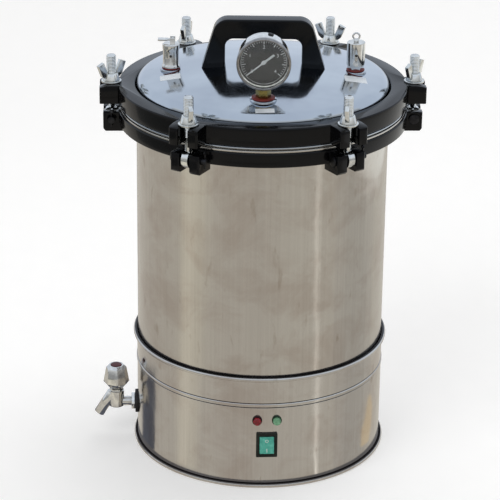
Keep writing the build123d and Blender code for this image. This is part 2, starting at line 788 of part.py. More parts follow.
# Handle: moulded arch whose feet follow the crown
lid_section = lid_plane(0, 0, 0, (90, 0, 0))
handle_top_height = lid_apex_height + handle_height
handle_foot_height = crown_height(handle_half_width)
with BuildPart() as handle:
    with BuildSketch(lid_section) as handle_profile:
        with BuildLine():
            Polyline(
                (-handle_half_width, handle_foot_height - handle_edge_radius),
                (-handle_top_half_width, handle_top_height),
                (handle_top_half_width, handle_top_height),
                (handle_half_width, handle_foot_height - handle_edge_radius),
                close=True,
            )
        make_face()
        fillet(handle_profile.vertices().group_by(Axis.Y)[-1], handle_top_radius)
        opening_top = handle_top_height - handle_bar_height
        opening_height = opening_top - handle_foot_height + 2 * handle_opening_radius
        with Locations((0, opening_top - opening_height / 2)):
            RectangleRounded(
                2 * handle_opening_half_width, opening_height, handle_opening_radius, mode=Mode.SUBTRACT
            )
    extrude(amount=handle_depth / 2, both=True)
    lid_y = Axis((0, 0, 0), lid_plane(0, 0, 0).y_dir)
    fillet(handle.faces().filter_by(lid_y).edges().group_by(Axis.Z)[1:], handle_edge_radius)
    add(crown_ball, mode=Mode.SUBTRACT)
    with BuildSketch(lid_plane(0, 0, handle_foot_height - handle_edge_radius)):
        with GridLocations(2 * handle_screw_offset, 0, 2, 1):
            Circle(handle_screw_radius + seal_fit)
    extrude(amount=handle_screw_depth + 2 * handle_edge_radius, mode=Mode.SUBTRACT)
handle.part.label = "handle"
export_step(handle.part, "parts/handle.step")

with BuildPart() as handle_screws:
    with BuildSketch(lid_plane(0, 0, crown_height(handle_screw_offset, lid_wall) - handle_screw_head_height)):
        with GridLocations(2 * handle_screw_offset, 0, 2, 1):
            Circle(handle_screw_head_radius)
    extrude(amount=2 * handle_screw_head_height)
    add(under_ball, mode=Mode.INTERSECT)
    screw_head_height = crown_height(handle_screw_offset, lid_wall) - handle_screw_head_height / 2
    with BuildSketch(lid_plane(0, 0, screw_head_height)):
        with GridLocations(2 * handle_screw_offset, 0, 2, 1):
            Circle(handle_screw_radius)
    extrude(amount=handle_screw_depth)
handle_screws.part.label = "handle_screws"
export_step(handle_screws.part, "parts/handle_screws.step")

# Pressure gauge: cup, bezel and glass, dial with its movement, pointer and brass stem
stud_end = crown_height(fitting_circle_radius, lid_wall) - stud_drop
gauge_height = lid_apex_height + gauge_centre_height
gauge_front = lid_plane(0, -fitting_circle_radius - gauge_front_offset, gauge_height, (90, 0, 0))
gauge_dial_front = gauge_front.offset(-gauge_dial_setback)
with BuildPart() as gauge_case:
    with BuildSketch(gauge_front):
        Circle(gauge_case_radius)
    extrude(amount=-gauge_case_depth)
    fillet(gauge_case.faces().sort_by(Axis.Y)[-1].edges(), gauge_bezel_round)
    with BuildSketch(gauge_front):
        Circle(gauge_case_radius - gauge_case_wall)
    extrude(amount=gauge_case_wall - gauge_case_depth, mode=Mode.SUBTRACT)
gauge_case.part.label = "gauge_case"
export_step(gauge_case.part, "parts/gauge_case.step")

with BuildPart() as gauge_bezel:
    with BuildSketch(gauge_front.offset(gauge_glass_thickness + gauge_bezel_front)):
        Circle(gauge_bezel_radius)
    extrude(amount=-gauge_bezel_depth)
    fillet(gauge_bezel.faces().sort_by(Axis.Y)[0].edges(), gauge_bezel_round)
    with BuildSketch(gauge_front.offset(gauge_glass_thickness)):
        Circle(gauge_case_radius + seal_fit)
    extrude(amount=-gauge_bezel_depth, mode=Mode.SUBTRACT)
    with BuildSketch(gauge_front):
        Circle(gauge_bezel_opening)
    extrude(amount=gauge_bezel_depth, mode=Mode.SUBTRACT)
gauge_bezel.part.label = "gauge_bezel"
export_step(gauge_bezel.part, "parts/gauge_bezel.step")

with BuildPart() as gauge_glass:
    with BuildSketch(gauge_front):
        Circle(gauge_case_radius - seal_fit)
    extrude(amount=gauge_glass_thickness)
gauge_glass.part.label = "gauge_glass"
export_step(gauge_glass.part, "parts/gauge_glass.step")

with BuildPart() as gauge_dial:
    with BuildSketch(gauge_dial_front):
        Circle(gauge_case_radius - gauge_case_wall - seal_fit)
    extrude(amount=-gauge_dial_thickness)
    with BuildSketch(gauge_dial_front):
        Circle(2 * gauge_neck_radius)
    extrude(amount=gauge_dial_setback + gauge_case_wall - gauge_case_depth)
    with BuildSketch(gauge_dial_front):
        Circle(gauge_shaft_radius + running_clearance)
    extrude(amount=-gauge_dial_setback, mode=Mode.SUBTRACT)
gauge_dial.part.label = "gauge_dial"
export_step(gauge_dial.part, "parts/gauge_dial.step")

with BuildPart() as gauge_pointer:
    with BuildSketch(gauge_dial_front.offset(gauge_pointer_lift)):
        Circle(gauge_hub_radius)
        with Locations(Location((0, 0, 0), (0, 0, gauge_rest_angle))):
            with Locations((gauge_pointer_length / 2, 0)):
                Rectangle(gauge_pointer_length, gauge_pointer_width)
            with Locations((-gauge_pointer_tail / 2, 0)):
                Rectangle(gauge_pointer_tail, gauge_pointer_tail_width)
    extrude(amount=gauge_pointer_thickness)
    with BuildSketch(gauge_dial_front.offset(gauge_pointer_lift + gauge_pointer_thickness)):
        Circle(gauge_shaft_radius)
    extrude(amount=-gauge_dial_setback)
gauge_pointer.part.label = "gauge_pointer"
export_step(gauge_pointer.part, "parts/gauge_pointer.step")

gauge_hex_top = gauge_height - gauge_case_radius
with BuildPart() as gauge_stem:
    with BuildSketch(lid_plane(*stud_spots[2], gauge_hex_top)):
        Circle(gauge_neck_radius)
    extrude(amount=gauge_case_radius / 2)
    with BuildSketch(gauge_front):
        Circle(gauge_case_radius + seal_fit)
    extrude(amount=-gauge_case_depth, mode=Mode.SUBTRACT)
    with BuildSketch(lid_plane(*stud_spots[2], seal_top)):
        RegularPolygon(gauge_hex_radius, 6)
    extrude(amount=gauge_hex_top - seal_top)
    with BuildSketch(lid_plane(*stud_spots[2], stud_end)):
        Circle(stud_radius)
    extrude(amount=seal_top - stud_end)
gauge_stem.part.label = "gauge_stem"
export_step(gauge_stem.part, "parts/gauge_stem.step")

# Release valve: the lever's pin is held between two cheeks on the body
release_top = seal_top + release_body_height
lever_pivot_place = (lever_pivot_offset - fitting_circle_radius, 0, release_top + lever_pivot_height)
lever_pivot = lid_plane(*lever_pivot_place, (90, 0, 0))
with BuildPart() as release_valve_body:
    with BuildSketch(lid_plane(-fitting_circle_radius, 0, 0, (90, 0, 0))):
        with BuildLine():
            Polyline(
                (0, seal_top),
                (release_foot_radius, seal_top),
                (release_foot_radius, seal_top + release_foot_height / 3),
                (release_waist_radius, seal_top + release_foot_height),
                (release_waist_radius, release_top - release_collar_height),
                (release_body_radius, release_top - release_collar_height + release_foot_height),
                (release_body_radius, release_top - valve_top_round),
                (release_body_radius - valve_top_round, release_top),
                (0, release_top),
                close=True,
            )
        make_face()
    revolve(axis=Axis(lid_plane(-fitting_circle_radius, 0, 0).origin, (0, 0, 1)))
    with BuildSketch(lid_plane(-fitting_circle_radius, 0, stud_end)):
        Circle(stud_radius)
    extrude(amount=seal_top - stud_end)
    with BuildSketch(lid_plane(lever_pivot_offset - fitting_circle_radius, 0, release_top - valve_top_round)):
        Rectangle(release_post_length, release_post_width)
    extrude(amount=release_post_height + valve_top_round)
    with BuildSketch(lid_plane(lever_pivot_offset - fitting_circle_radius, 0, release_top)):
        Rectangle(3 * release_post_length, lever_slot_width)
    extrude(amount=2 * release_post_height, mode=Mode.SUBTRACT)
    with BuildSketch(lever_pivot.offset(-release_post_width / 2)):
        Circle(lever_pin_radius)
    extrude(amount=release_post_width)
    with BuildSketch(lid_plane(-fitting_circle_radius, 0, stud_end)):
        Circle(relief_tube_radius + seal_fit)
    extrude(amount=stud_drop, mode=Mode.SUBTRACT)
    with BuildSketch(lid_plane(-fitting_circle_radius, 0, stud_end)):
        Circle(valve_port_radius)
    extrude(amount=seal_top + release_port_height - stud_end, mode=Mode.SUBTRACT)
    with BuildSketch(lid_plane(-fitting_circle_radius, 0, seal_top + release_port_height, (90, 0, 0))):
        Circle(valve_port_radius)
    extrude(amount=2 * release_body_radius, mode=Mode.SUBTRACT)
release_valve_body.part.label = "release_valve_body"
export_step(release_valve_body.part, "parts/release_valve_body.step")

with BuildPart() as release_lever:
    with BuildSketch(lever_pivot):
        Circle(lever_eye_radius)
        with Locations((-release_post_length / 2, 0)):
            Rectangle(release_post_length, lever_thickness)
    extrude(amount=lever_slot_width / 2 - lever_slot_gap, both=True)
    with BuildSketch(lever_pivot):
        with Locations((-(lever_length + release_post_length) / 2, 0)):
            Rectangle(lever_length - release_post_length, lever_thickness)
    extrude(amount=lever_width / 2, both=True)
    with BuildSketch(lever_pivot):
        Circle(lever_pin_radius + running_clearance)
    extrude(amount=lever_slot_width, both=True, mode=Mode.SUBTRACT)
release_lever.part.label = "release_lever"
export_step(release_lever.part, "parts/release_lever.step")

relief_bend_height = stud_end - relief_bend_radius
with BuildPart() as relief_tube:
    with BuildLine(lid_section):
        FilletPolyline(
            (-fitting_circle_radius, stud_end + stud_drop / 2),
            (-fitting_circle_radius, relief_bend_height),
            (-relief_tube_offset, relief_bend_height - relief_tube_offset + fitting_circle_radius),
            (-relief_tube_offset, relief_tube_bottom),
            radius=relief_bend_radius,
        )
    with BuildSketch(lid_plane(-fitting_circle_radius, 0, stud_end + stud_drop / 2)):
        Circle(relief_tube_radius)
        Circle(relief_tube_radius - relief_tube_wall, mode=Mode.SUBTRACT)
    sweep()
relief_tube.part.label = "relief_tube"
export_step(relief_tube.part, "parts/relief_tube.step")

# Safety valve with a pull ring on its stem
safety_top = seal_top + safety_body_height
with BuildPart() as safety_valve_body:
    with BuildSketch(lid_plane(*stud_spots[1], seal_top)):
        RegularPolygon(safety_hex_radius, 6)
    extrude(amount=safety_hex_height)
    with BuildSketch(lid_plane(*stud_spots[1], seal_top + safety_hex_height)):
        Circle(safety_body_radius)
    extrude(amount=safety_body_height - safety_hex_height)
    fillet(safety_valve_body.faces().sort_by(Axis.Z)[-1].edges(), valve_top_round)
    with BuildSketch(lid_plane(*stud_spots[1], stud_end)):
        Circle(stud_radius)
    extrude(amount=seal_top - stud_end)
    with BuildSketch(lid_plane(*stud_spots[1], safety_top)):
        Circle(safety_stem_radius + running_clearance)
    extrude(amount=-safety_stem_depth, mode=Mode.SUBTRACT)
    with BuildSketch(lid_plane(*stud_spots[1], stud_end)):
        Circle(valve_port_radius)
    extrude(amount=safety_top - safety_stem_depth - stud_end, mode=Mode.SUBTRACT)
    with BuildSketch(lid_plane(fitting_circle_radius, 0, seal_top + safety_port_height, (90, 0, 0))):
        Circle(valve_port_radius)
    extrude(amount=2 * safety_body_radius, mode=Mode.SUBTRACT)
safety_valve_body.part.label = "safety_valve_body"
export_step(safety_valve_body.part, "parts/safety_valve_body.step")

with BuildPart() as safety_stem:
    with BuildSketch(lid_plane(*stud_spots[1], safety_top)):
        Circle(safety_stem_radius)
    extrude(amount=seat_gap - safety_stem_depth)
    with BuildSketch(lid_plane(*stud_spots[1], safety_top)):
        Circle(safety_stem_head_radius)
    extrude(amount=safety_stem_rise)
    ring_lift = safety_top + safety_stem_rise + safety_ring_radius - safety_ring_wire / 2
    with BuildSketch(lid_plane(fitting_circle_radius, 0, ring_lift)):
        with Locations((safety_ring_radius, 0)):
            Circle(safety_ring_wire)
    revolve(axis=Axis(lid_plane(fitting_circle_radius, 0, ring_lift).origin, lid_plane(0, 0, 0).y_dir))
safety_stem.part.label = "safety_stem"
export_step(safety_stem.part, "parts/safety_stem.step")

# Drain tap: washer and nut against the shell, body with its spout, spindle and knob
tap_face = facing_plane(tap_side, tap_height)
tap_axis_x = -base_outer_radius - tap_reach
spout_plane = Plane(Location((tap_axis_x, 0, tap_height + spout_pivot_rise), (0, 180 + spout_tilt, 0)))
with BuildPart() as tap_washer:
    with BuildSketch(tap_face.offset(base_outer_radius + tap_washer_thickness)):
        Circle(tap_washer_radius)
        Circle(tap_pipe_radius + seal_fit, mode=Mode.SUBTRACT)
    extrude(amount=-2 * tap_washer_thickness)
    with BuildSketch():
        Circle(base_outer_radius)
    extrude(amount=2 * tap_height, mode=Mode.SUBTRACT)
tap_washer.part.label = "tap_washer"
export_step(tap_washer.part, "parts/tap_washer.step")

with BuildPart() as tap_nut:
    with BuildSketch(tap_face.offset(base_outer_radius + tap_washer_thickness)):
        RegularPolygon(tap_nut_radius, 6)
        Circle(tap_pipe_radius + seal_fit, mode=Mode.SUBTRACT)
    extrude(amount=tap_nut_thickness)
tap_nut.part.label = "tap_nut"
export_step(tap_nut.part, "parts/tap_nut.step")

tap_barrel_height = tap_barrel_top + tap_barrel_drop
bonnet_top = tap_height + tap_barrel_top + tap_bonnet_height
with BuildPart() as tap_body:
    with BuildSketch(Plane((tap_axis_x, 0, tap_height - tap_barrel_drop))):
        Circle(tap_barrel_radius)
    extrude(amount=tap_barrel_height)
    fillet(tap_body.faces().sort_by(Axis.Z)[0].edges(), valve_top_round)
    with BuildSketch(tap_face.offset(base_outer_radius - tap_inner_reach)):
        Circle(tap_pipe_radius)
    extrude(amount=tap_inner_reach + tap_reach)
    with BuildSketch(Plane((tap_axis_x, 0, tap_height + tap_barrel_top))):
        RegularPolygon(tap_bonnet_radius, 6)
    extrude(amount=tap_bonnet_height)
    with BuildSketch(spout_plane.offset(spout_start)):
        Circle(spout_root_radius)
    extrude(amount=spout_length - spout_hose_length - spout_start)
    with BuildSketch(spout_plane.offset(spout_length)):
        Circle(spout_radius)
    extrude(amount=-spout_hose_length)
    with BuildSketch(spout_plane.offset(spout_length)):
        Circle(spout_bore_radius)
    extrude(amount=-spout_bore_depth, mode=Mode.SUBTRACT)
    with BuildSketch(tap_face.offset(base_outer_radius - tap_inner_reach)):
        Circle(tap_bore_radius)
    extrude(amount=tap_inner_reach + tap_reach + tap_bore_overrun, mode=Mode.SUBTRACT)
    with BuildSketch(tap_face.offset(base_outer_radius - tap_inner_reach)):
        Circle(drain_pipe_radius + seal_fit)
    extrude(amount=drain_socket_depth, mode=Mode.SUBTRACT)
    with BuildSketch(Plane((tap_axis_x, 0, bonnet_top))):
        Circle(spindle_radius + running_clearance)
    extrude(amount=tap_height - bonnet_top, mode=Mode.SUBTRACT)
tap_body.part.label = "tap_body"
export_step(tap_body.part, "parts/tap_body.step")

knob_bottom = bonnet_top + knob_gap
spindle_bottom = tap_height + tap_bore_radius
knob_top = knob_bottom + knob_sections[-1][0]
spindle_top = knob_top - 2 * knob_cap_recess
with BuildPart() as tap_spindle:
    with BuildSketch(Plane((tap_axis_x, 0, spindle_bottom))):
        Circle(spindle_radius)
    extrude(amount=spindle_top - spindle_bottom)
tap_spindle.part.label = "tap_spindle"
export_step(tap_spindle.part, "parts/tap_spindle.step")

with BuildPart() as tap_knob:
    for height, radius in knob_sections:
        with BuildSketch(Plane((tap_axis_x, 0, knob_bottom + height))):
            RegularPolygon(radius, knob_side_count)
    loft(ruled=True)
    with BuildSketch(Plane((tap_axis_x, 0, knob_top))):
        Circle(knob_cap_radius + seal_fit)
    extrude(amount=-knob_cap_recess, mode=Mode.SUBTRACT)
    with BuildSketch(Plane((tap_axis_x, 0, spindle_top))):
        Circle(spindle_radius + seal_fit)
    extrude(amount=knob_bottom - spindle_top, mode=Mode.SUBTRACT)
tap_knob.part.label = "tap_knob"
export_step(tap_knob.part, "parts/tap_knob.step")

with BuildPart() as tap_cap:
    with BuildSketch(Plane((tap_axis_x, 0, knob_top - knob_cap_recess))):
        Circle(knob_cap_radius)
    extrude(amount=knob_cap_height)
    fillet(tap_cap.faces().sort_by(Axis.Z)[-1].edges(), knob_cap_height - knob_cap_recess)
tap_cap.part.label = "tap_cap"
export_step(tap_cap.part, "parts/tap_cap.step")

drain_x = drain_inset - chamber_outer_radius
drain_end_x = tap_inner_reach - drain_socket_depth - base_outer_radius + seat_gap
with BuildPart() as drain_pipe:
    with BuildLine(Plane.XZ):
        FilletPolyline(
            (drain_x, chamber_inner_floor),
            (drain_x, tap_height),
            (drain_end_x, tap_height),
            radius=drain_bend_radius,
        )
    with BuildSketch(Plane((drain_x, 0, chamber_inner_floor))):
        Circle(drain_pipe_radius)
        Circle(drain_pipe_radius - drain_pipe_wall, mode=Mode.SUBTRACT)
    sweep()
    with BuildSketch(Plane((drain_x, 0, chamber_floor_height))):
        Circle(drain_collar_radius)
        Circle(drain_pipe_radius - drain_pipe_wall / 2, mode=Mode.SUBTRACT)
    extrude(amount=-drain_collar_height)
drain_pipe.part.label = "drain_pipe"
export_step(drain_pipe.part, "parts/drain_pipe.step")

# Rocker switch: bezel with its housing, and the rocker resting on its upper side
with BuildPart() as switch_bezel:
    with BuildSketch(facing_plane(front, switch_height, base_outer_radius + switch_bezel_thickness)):
        RectangleRounded(switch_bezel_width, switch_bezel_height, valve_top_round)
    extrude(amount=-2 * switch_bezel_thickness)
    with BuildSketch():
        Circle(base_outer_radius)
    extrude(amount=2 * switch_height, mode=Mode.SUBTRACT)
    with BuildSketch(facing_plane(front, switch_height, base_outer_radius + switch_bezel_thickness / 2)):
        Rectangle(switch_body_width, switch_body_height)
    extrude(amount=-switch_body_depth)
    switch_back = base_outer_radius + switch_bezel_thickness / 2 - switch_body_depth
    with BuildSketch(facing_plane(front, switch_height, switch_back)):
        with GridLocations(0, switch_body_height / 2, 1, 2):
            Rectangle(switch_blade_width, switch_blade_thickness)
    extrude(amount=-switch_blade_length)
    with BuildSketch(facing_plane(front, switch_height, base_outer_radius + switch_bezel_thickness)):
        Rectangle(switch_opening_width, switch_opening_height)
    extrude(amount=-switch_opening_depth, mode=Mode.SUBTRACT)
    with BuildSketch(
        Plane(
            (0, rocker_pivot_depth - base_outer_radius - switch_bezel_thickness, switch_height),
            x_dir=(0, -1, 0),
            z_dir=(1, 0, 0),
        )
    ):
        Circle(rocker_pin_radius + running_clearance)
    extrude(amount=rocker_width / 2 + rocker_pin_length + seat_gap, both=True, mode=Mode.SUBTRACT)
switch_bezel.part.label = "switch_bezel"
export_step(switch_bezel.part, "parts/switch_bezel.step")

rocker_plane = Plane(
    (0, rocker_pivot_depth - base_outer_radius - switch_bezel_thickness, switch_height),
    x_dir=(0, -cos(radians(rocker_tilt)), sin(radians(rocker_tilt))),
    z_dir=(-1, 0, 0),
)
rocker_front = rocker_pivot_depth + rocker_rise
rocker_end = rocker_front + rocker_height / 2 * sin(radians(rocker_tilt))
with BuildPart() as switch_rocker:
    with BuildSketch(rocker_plane):
        with BuildLine():
            Polyline(
                (rocker_front, 0),
                (rocker_end, rocker_height / 2),
                (rocker_depth, rocker_height / 2),
                (-rocker_depth, rocker_back_height / 2),
                (-rocker_depth, -rocker_back_height / 2),
                (rocker_depth, -rocker_height / 2),
                (rocker_end, -rocker_height / 2),
                close=True,
            )
        make_face()
    extrude(amount=rocker_width / 2, both=True)
    with BuildSketch(rocker_plane):
        Circle(rocker_pin_radius)
    extrude(amount=rocker_width / 2 + rocker_pin_length, both=True)
switch_rocker.part.label = "switch_rocker"
export_step(switch_rocker.part, "parts/switch_rocker.step")

# Indicator lamps
for name, side in (("red_lamp", -1), ("green_lamp", 1)):
    with BuildPart() as lamp:
        lamp_face = facing_plane(front, lamp_height, base_outer_radius)
        lamp_spot = (side * lamp_spacing / 2, 0)
        with BuildSketch(lamp_face.offset(lamp_lens_rim)):
            with Locations(lamp_spot):
                Circle(lamp_lens_radius)
        extrude(amount=-2 * lamp_lens_rim)
        with BuildSketch():
            Circle(base_outer_radius)
        extrude(amount=2 * lamp_height, mode=Mode.SUBTRACT)
        with BuildSketch(lamp_face.offset(lamp_lens_rim)):
            with Locations(lamp_spot):
                Circle(lamp_lens_radius - lamp_lens_rim / 2)
        extrude(amount=lamp_lens_height)
        fillet(lamp.faces().sort_by(Axis.Y)[0].edges(), lamp_lens_height * 0.7)
        with BuildSketch(lamp_face.offset(lamp_lens_rim)):
            with Locations(lamp_spot):
                Circle(lamp_body_radius)
        extrude(amount=-lamp_body_depth)
    lamp.part.label = name
    export_step(lamp.part, f"parts/{name}.step")

# Mains inlet with three blades in its socket
inlet_face = facing_plane(back, inlet_height, base_outer_radius + inlet_flange_thickness)
with BuildPart() as mains_inlet:
    with BuildSketch(inlet_face):
        RectangleRounded(inlet_flange_width, inlet_flange_height, inlet_flange_radius)
        with GridLocations(inlet_screw_spacing, 0, 2, 1):
            Circle(inlet_screw_radius, mode=Mode.SUBTRACT)
    extrude(amount=-3 * inlet_flange_thickness)
    with BuildSketch():
        Circle(base_outer_radius)
    extrude(amount=2 * inlet_height, mode=Mode.SUBTRACT)
    with BuildSketch(inlet_face):
        Rectangle(inlet_body_width, inlet_body_height)
    extrude(amount=-inlet_body_depth - inlet_flange_thickness)
    with BuildSketch(inlet_face):
        Rectangle(inlet_socket_width, inlet_socket_height)
    extrude(amount=-inlet_socket_depth, mode=Mode.SUBTRACT)
    with BuildSketch(inlet_face.offset(-inlet_blade_setback)):
        with Locations((0, inlet_blade_offset)):
            Rectangle(inlet_blade_thickness, inlet_blade_width)
        with Locations((0, -inlet_blade_offset)), GridLocations(2 * inlet_blade_spacing, 0, 2, 1):
            Rectangle(inlet_blade_thickness, inlet_blade_width)
    extrude(amount=inlet_blade_setback - inlet_body_depth)
mains_inlet.part.label = "mains_inlet"
export_step(mains_inlet.part, "parts/mains_inlet.step")

# Heating element: one bent tube, its two legs sealed through the chamber's floor
heater_height = chamber_inner_floor + heater_rise
heater_leg_x = heater_leg_spacing / 2
heater_side_x = heater_loop_width / 2
heater_front_y = heater_leg_offset - heater_loop_length
heater_end = chamber_floor_height - heater_tail
with BuildPart() as heating_element:
    with BuildLine():
        FilletPolyline(
            (heater_leg_x, heater_leg_offset, heater_end),
            (heater_leg_x, heater_leg_offset, heater_height),
            (heater_side_x, heater_leg_offset, heater_height),
            (heater_side_x, heater_front_y, heater_height),
            (-heater_side_x, heater_front_y, heater_height),
            (-heater_side_x, heater_leg_offset, heater_height),
            (-heater_leg_x, heater_leg_offset, heater_height),
            (-heater_leg_x, heater_leg_offset, heater_end),
            radius=[heater_leg_bend] + 4 * [heater_loop_bend] + [heater_leg_bend],
        )
    with BuildSketch(Plane((heater_leg_x, heater_leg_offset, heater_end))):
        Circle(heater_tube_radius)
    sweep()
    with BuildSketch(Plane((0, heater_leg_offset, chamber_floor_height - heater_nut_height))):
        with GridLocations(heater_leg_spacing, 0, 2, 1):
            RegularPolygon(heater_nut_radius, 6)
            Circle(heater_tube_radius + running_clearance, mode=Mode.SUBTRACT)
    extrude(amount=heater_nut_height)
heating_element.part.label = "heating_element"
export_step(heating_element.part, "parts/heating_element.step")

with BuildPart() as thermal_cutout:
    with BuildSketch(Plane((0, cutout_offset, chamber_floor_height))):
        Circle(cutout_radius)
        SlotOverall(3.4 * cutout_radius, cutout_radius)
    extrude(amount=-shelf_thickness)
    with BuildSketch(Plane((0, cutout_offset, chamber_floor_height))):
        Circle(cutout_radius)
    extrude(amount=-cutout_height)
    with BuildSketch(Plane((0, cutout_offset, chamber_floor_height - cutout_height))):
        with GridLocations(cutout_radius, 0, 2, 1):
            Rectangle(1, cutout_radius / 2)
    extrude(amount=-cutout_height)
thermal_cutout.part.label = "thermal_cutout"
export_step(thermal_cutout.part, "parts/thermal_cutout.step")

with BuildPart() as terminal_block:
    with BuildSketch(Plane((0, terminal_offset, base_plate_top))):
        Rectangle(terminal_width, terminal_depth)
    extrude(amount=terminal_height)
    with BuildSketch(Plane((0, terminal_offset, base_plate_top + terminal_height))):
        with GridLocations(terminal_width / terminal_wells, 0, terminal_wells, 1):
            Circle(terminal_well_radius)
    extrude(amount=-terminal_well_depth, mode=Mode.SUBTRACT)
terminal_block.part.label = "terminal_block"
export_step(terminal_block.part, "parts/terminal_block.step")

# Rack over the element, and the basket that stands on it
with BuildPart() as support_rack:
    with BuildSketch(Plane.XY.offset(chamber_inner_floor)):
        with PolarLocations(rack_leg_circle, 4, start_angle=45):
            Circle(rack_leg_radius)
    extrude(amount=rack_leg_height)
    with BuildSketch(Plane.XY.offset(chamber_inner_floor + rack_leg_height)):
        Circle(rack_radius)
        Circle(2 * rack_hole_radius, mode=Mode.SUBTRACT)
        with PolarLocations(rack_hole_circle, rack_hole_count):
            Circle(rack_hole_radius, mode=Mode.SUBTRACT)
    extrude(amount=rack_thickness)
support_rack.part.label = "support_rack"
export_step(support_rack.part, "parts/support_rack.step")

basket_bottom = chamber_inner_floor + rack_leg_height + rack_thickness + basket_gap
basket_top = basket_bottom + basket_height
bail_height = basket_top + bail_pivot_rise
bail_radius = basket_radius - bail_inset
channel_radius = relief_tube_radius + channel_clearance
channel_reach = 2 * (basket_radius - relief_tube_offset + channel_radius)
with BuildPart() as basket:
    with BuildSketch(Plane.XZ) as basket_profile:
        basket_inner_radius = basket_radius - basket_wall
        with BuildLine():
            Polyline(
                (0, basket_bottom),
                (basket_radius, basket_bottom),
                (basket_radius, basket_top),
                (basket_inner_radius, basket_top),
                (basket_inner_radius, basket_bottom + basket_wall),
                (0, basket_bottom + basket_wall),
                close=True,
            )
        make_face()
        corner = basket_profile.vertices().sort_by_distance((basket_radius, basket_bottom))
        fillet(corner[0], basket_corner_radius)
        inner_corner = (basket_inner_radius, basket_bottom + basket_wall)
        corner = basket_profile.vertices().sort_by_distance(inner_corner)
        fillet(corner[0], basket_corner_radius - basket_wall)
        with Locations((basket_radius, basket_top - basket_rim_radius)):
            Circle(basket_rim_radius)
        with Locations((basket_inner_radius - basket_rim_radius, basket_top - basket_rim_radius)):
            Rectangle(2 * basket_rim_radius, 3 * basket_rim_radius, mode=Mode.SUBTRACT)
    revolve(axis=Axis.Z)
    with BuildSketch(lid_plane(0, 0, basket_top - channel_height - channel_wall)):
        with Locations((-relief_tube_offset, 0)):
            Circle(channel_radius + channel_wall)
        with Locations((-relief_tube_offset - channel_reach / 4, 0)):
            Rectangle(channel_reach / 2, 2 * (channel_radius + channel_wall))
        Circle(basket_radius - channel_wall / 2, mode=Mode.INTERSECT)
    extrude(amount=channel_height + channel_wall)
    with BuildSketch(lid_plane(0, 0, basket_top - channel_height)):
        with Locations((-relief_tube_offset, 0)):
            Circle(channel_radius)
        with Locations((-relief_tube_offset - channel_reach / 2, 0)):
            Rectangle(channel_reach, 2 * channel_radius)
    extrude(amount=channel_height + basket_rim_radius, mode=Mode.SUBTRACT)
    with BuildSketch(Plane.XY.offset(basket_bottom)):
        for circle, count in basket_hole_circles:
            with PolarLocations(circle, count):
                Circle(basket_hole_radius)
    extrude(amount=basket_wall, mode=Mode.SUBTRACT)
    with BuildSketch(upright_plane(back, 0, basket_top)):
        with Locations((0, (bail_ear_rise - bail_ear_drop) / 2)):
            with GridLocations(2 * basket_radius - basket_wall - bail_ear_thickness, 0, 2, 1):
                Rectangle(bail_ear_thickness, bail_ear_rise + bail_ear_drop)
    extrude(amount=bail_ear_width / 2, both=True)
    with BuildSketch(facing_plane(back, bail_height)):
        Circle(bail_stub_radius + running_clearance)
    extrude(amount=basket_radius, both=True, mode=Mode.SUBTRACT)
basket.part.label = "basket"
export_step(basket.part, "parts/basket.step")

with BuildPart() as basket_bail:
    with BuildLine(Plane.XY.offset(bail_height)):
        ThreePointArc((0, -bail_radius), (bail_radius, 0), (0, bail_radius))
    with BuildSketch(Plane((0, -bail_radius, bail_height), x_dir=(0, 1, 0), z_dir=(1, 0, 0))):
        Circle(bail_wire_radius)
    sweep()
    with Locations((0, -bail_radius, bail_height), (0, bail_radius, bail_height)):
        Sphere(bail_wire_radius)
    pivot_planes = [facing_plane(side, bail_height, bail_radius) for side in (back, front)]
    with BuildSketch(*pivot_planes):
        Circle(bail_stub_radius)
    extrude(amount=bail_inset)
basket_bail.part.label = "basket_bail"
export_step(basket_bail.part, "parts/basket_bail.step")
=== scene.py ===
import json
import math
from random import Random

import bmesh
import bpy
from mathutils import Matrix, Vector
from mathutils.bvhtree import BVHTree

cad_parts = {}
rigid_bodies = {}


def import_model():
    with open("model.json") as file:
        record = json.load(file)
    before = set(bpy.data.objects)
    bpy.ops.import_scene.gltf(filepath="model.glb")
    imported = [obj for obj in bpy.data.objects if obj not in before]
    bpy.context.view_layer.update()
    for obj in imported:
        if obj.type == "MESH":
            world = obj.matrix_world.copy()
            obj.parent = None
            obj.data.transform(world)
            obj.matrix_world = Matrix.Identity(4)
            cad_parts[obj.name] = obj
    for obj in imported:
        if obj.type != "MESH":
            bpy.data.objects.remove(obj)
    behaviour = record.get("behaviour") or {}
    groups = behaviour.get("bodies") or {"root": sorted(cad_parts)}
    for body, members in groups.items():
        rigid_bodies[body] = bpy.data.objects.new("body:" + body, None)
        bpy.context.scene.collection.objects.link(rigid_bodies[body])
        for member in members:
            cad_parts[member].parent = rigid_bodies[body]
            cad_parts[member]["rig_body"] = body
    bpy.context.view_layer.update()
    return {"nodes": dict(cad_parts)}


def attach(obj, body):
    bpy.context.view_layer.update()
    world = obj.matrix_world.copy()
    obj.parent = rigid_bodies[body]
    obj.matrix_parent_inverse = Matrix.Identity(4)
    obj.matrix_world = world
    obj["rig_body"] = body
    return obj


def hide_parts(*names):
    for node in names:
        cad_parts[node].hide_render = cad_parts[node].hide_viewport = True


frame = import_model()
mm = 0.001

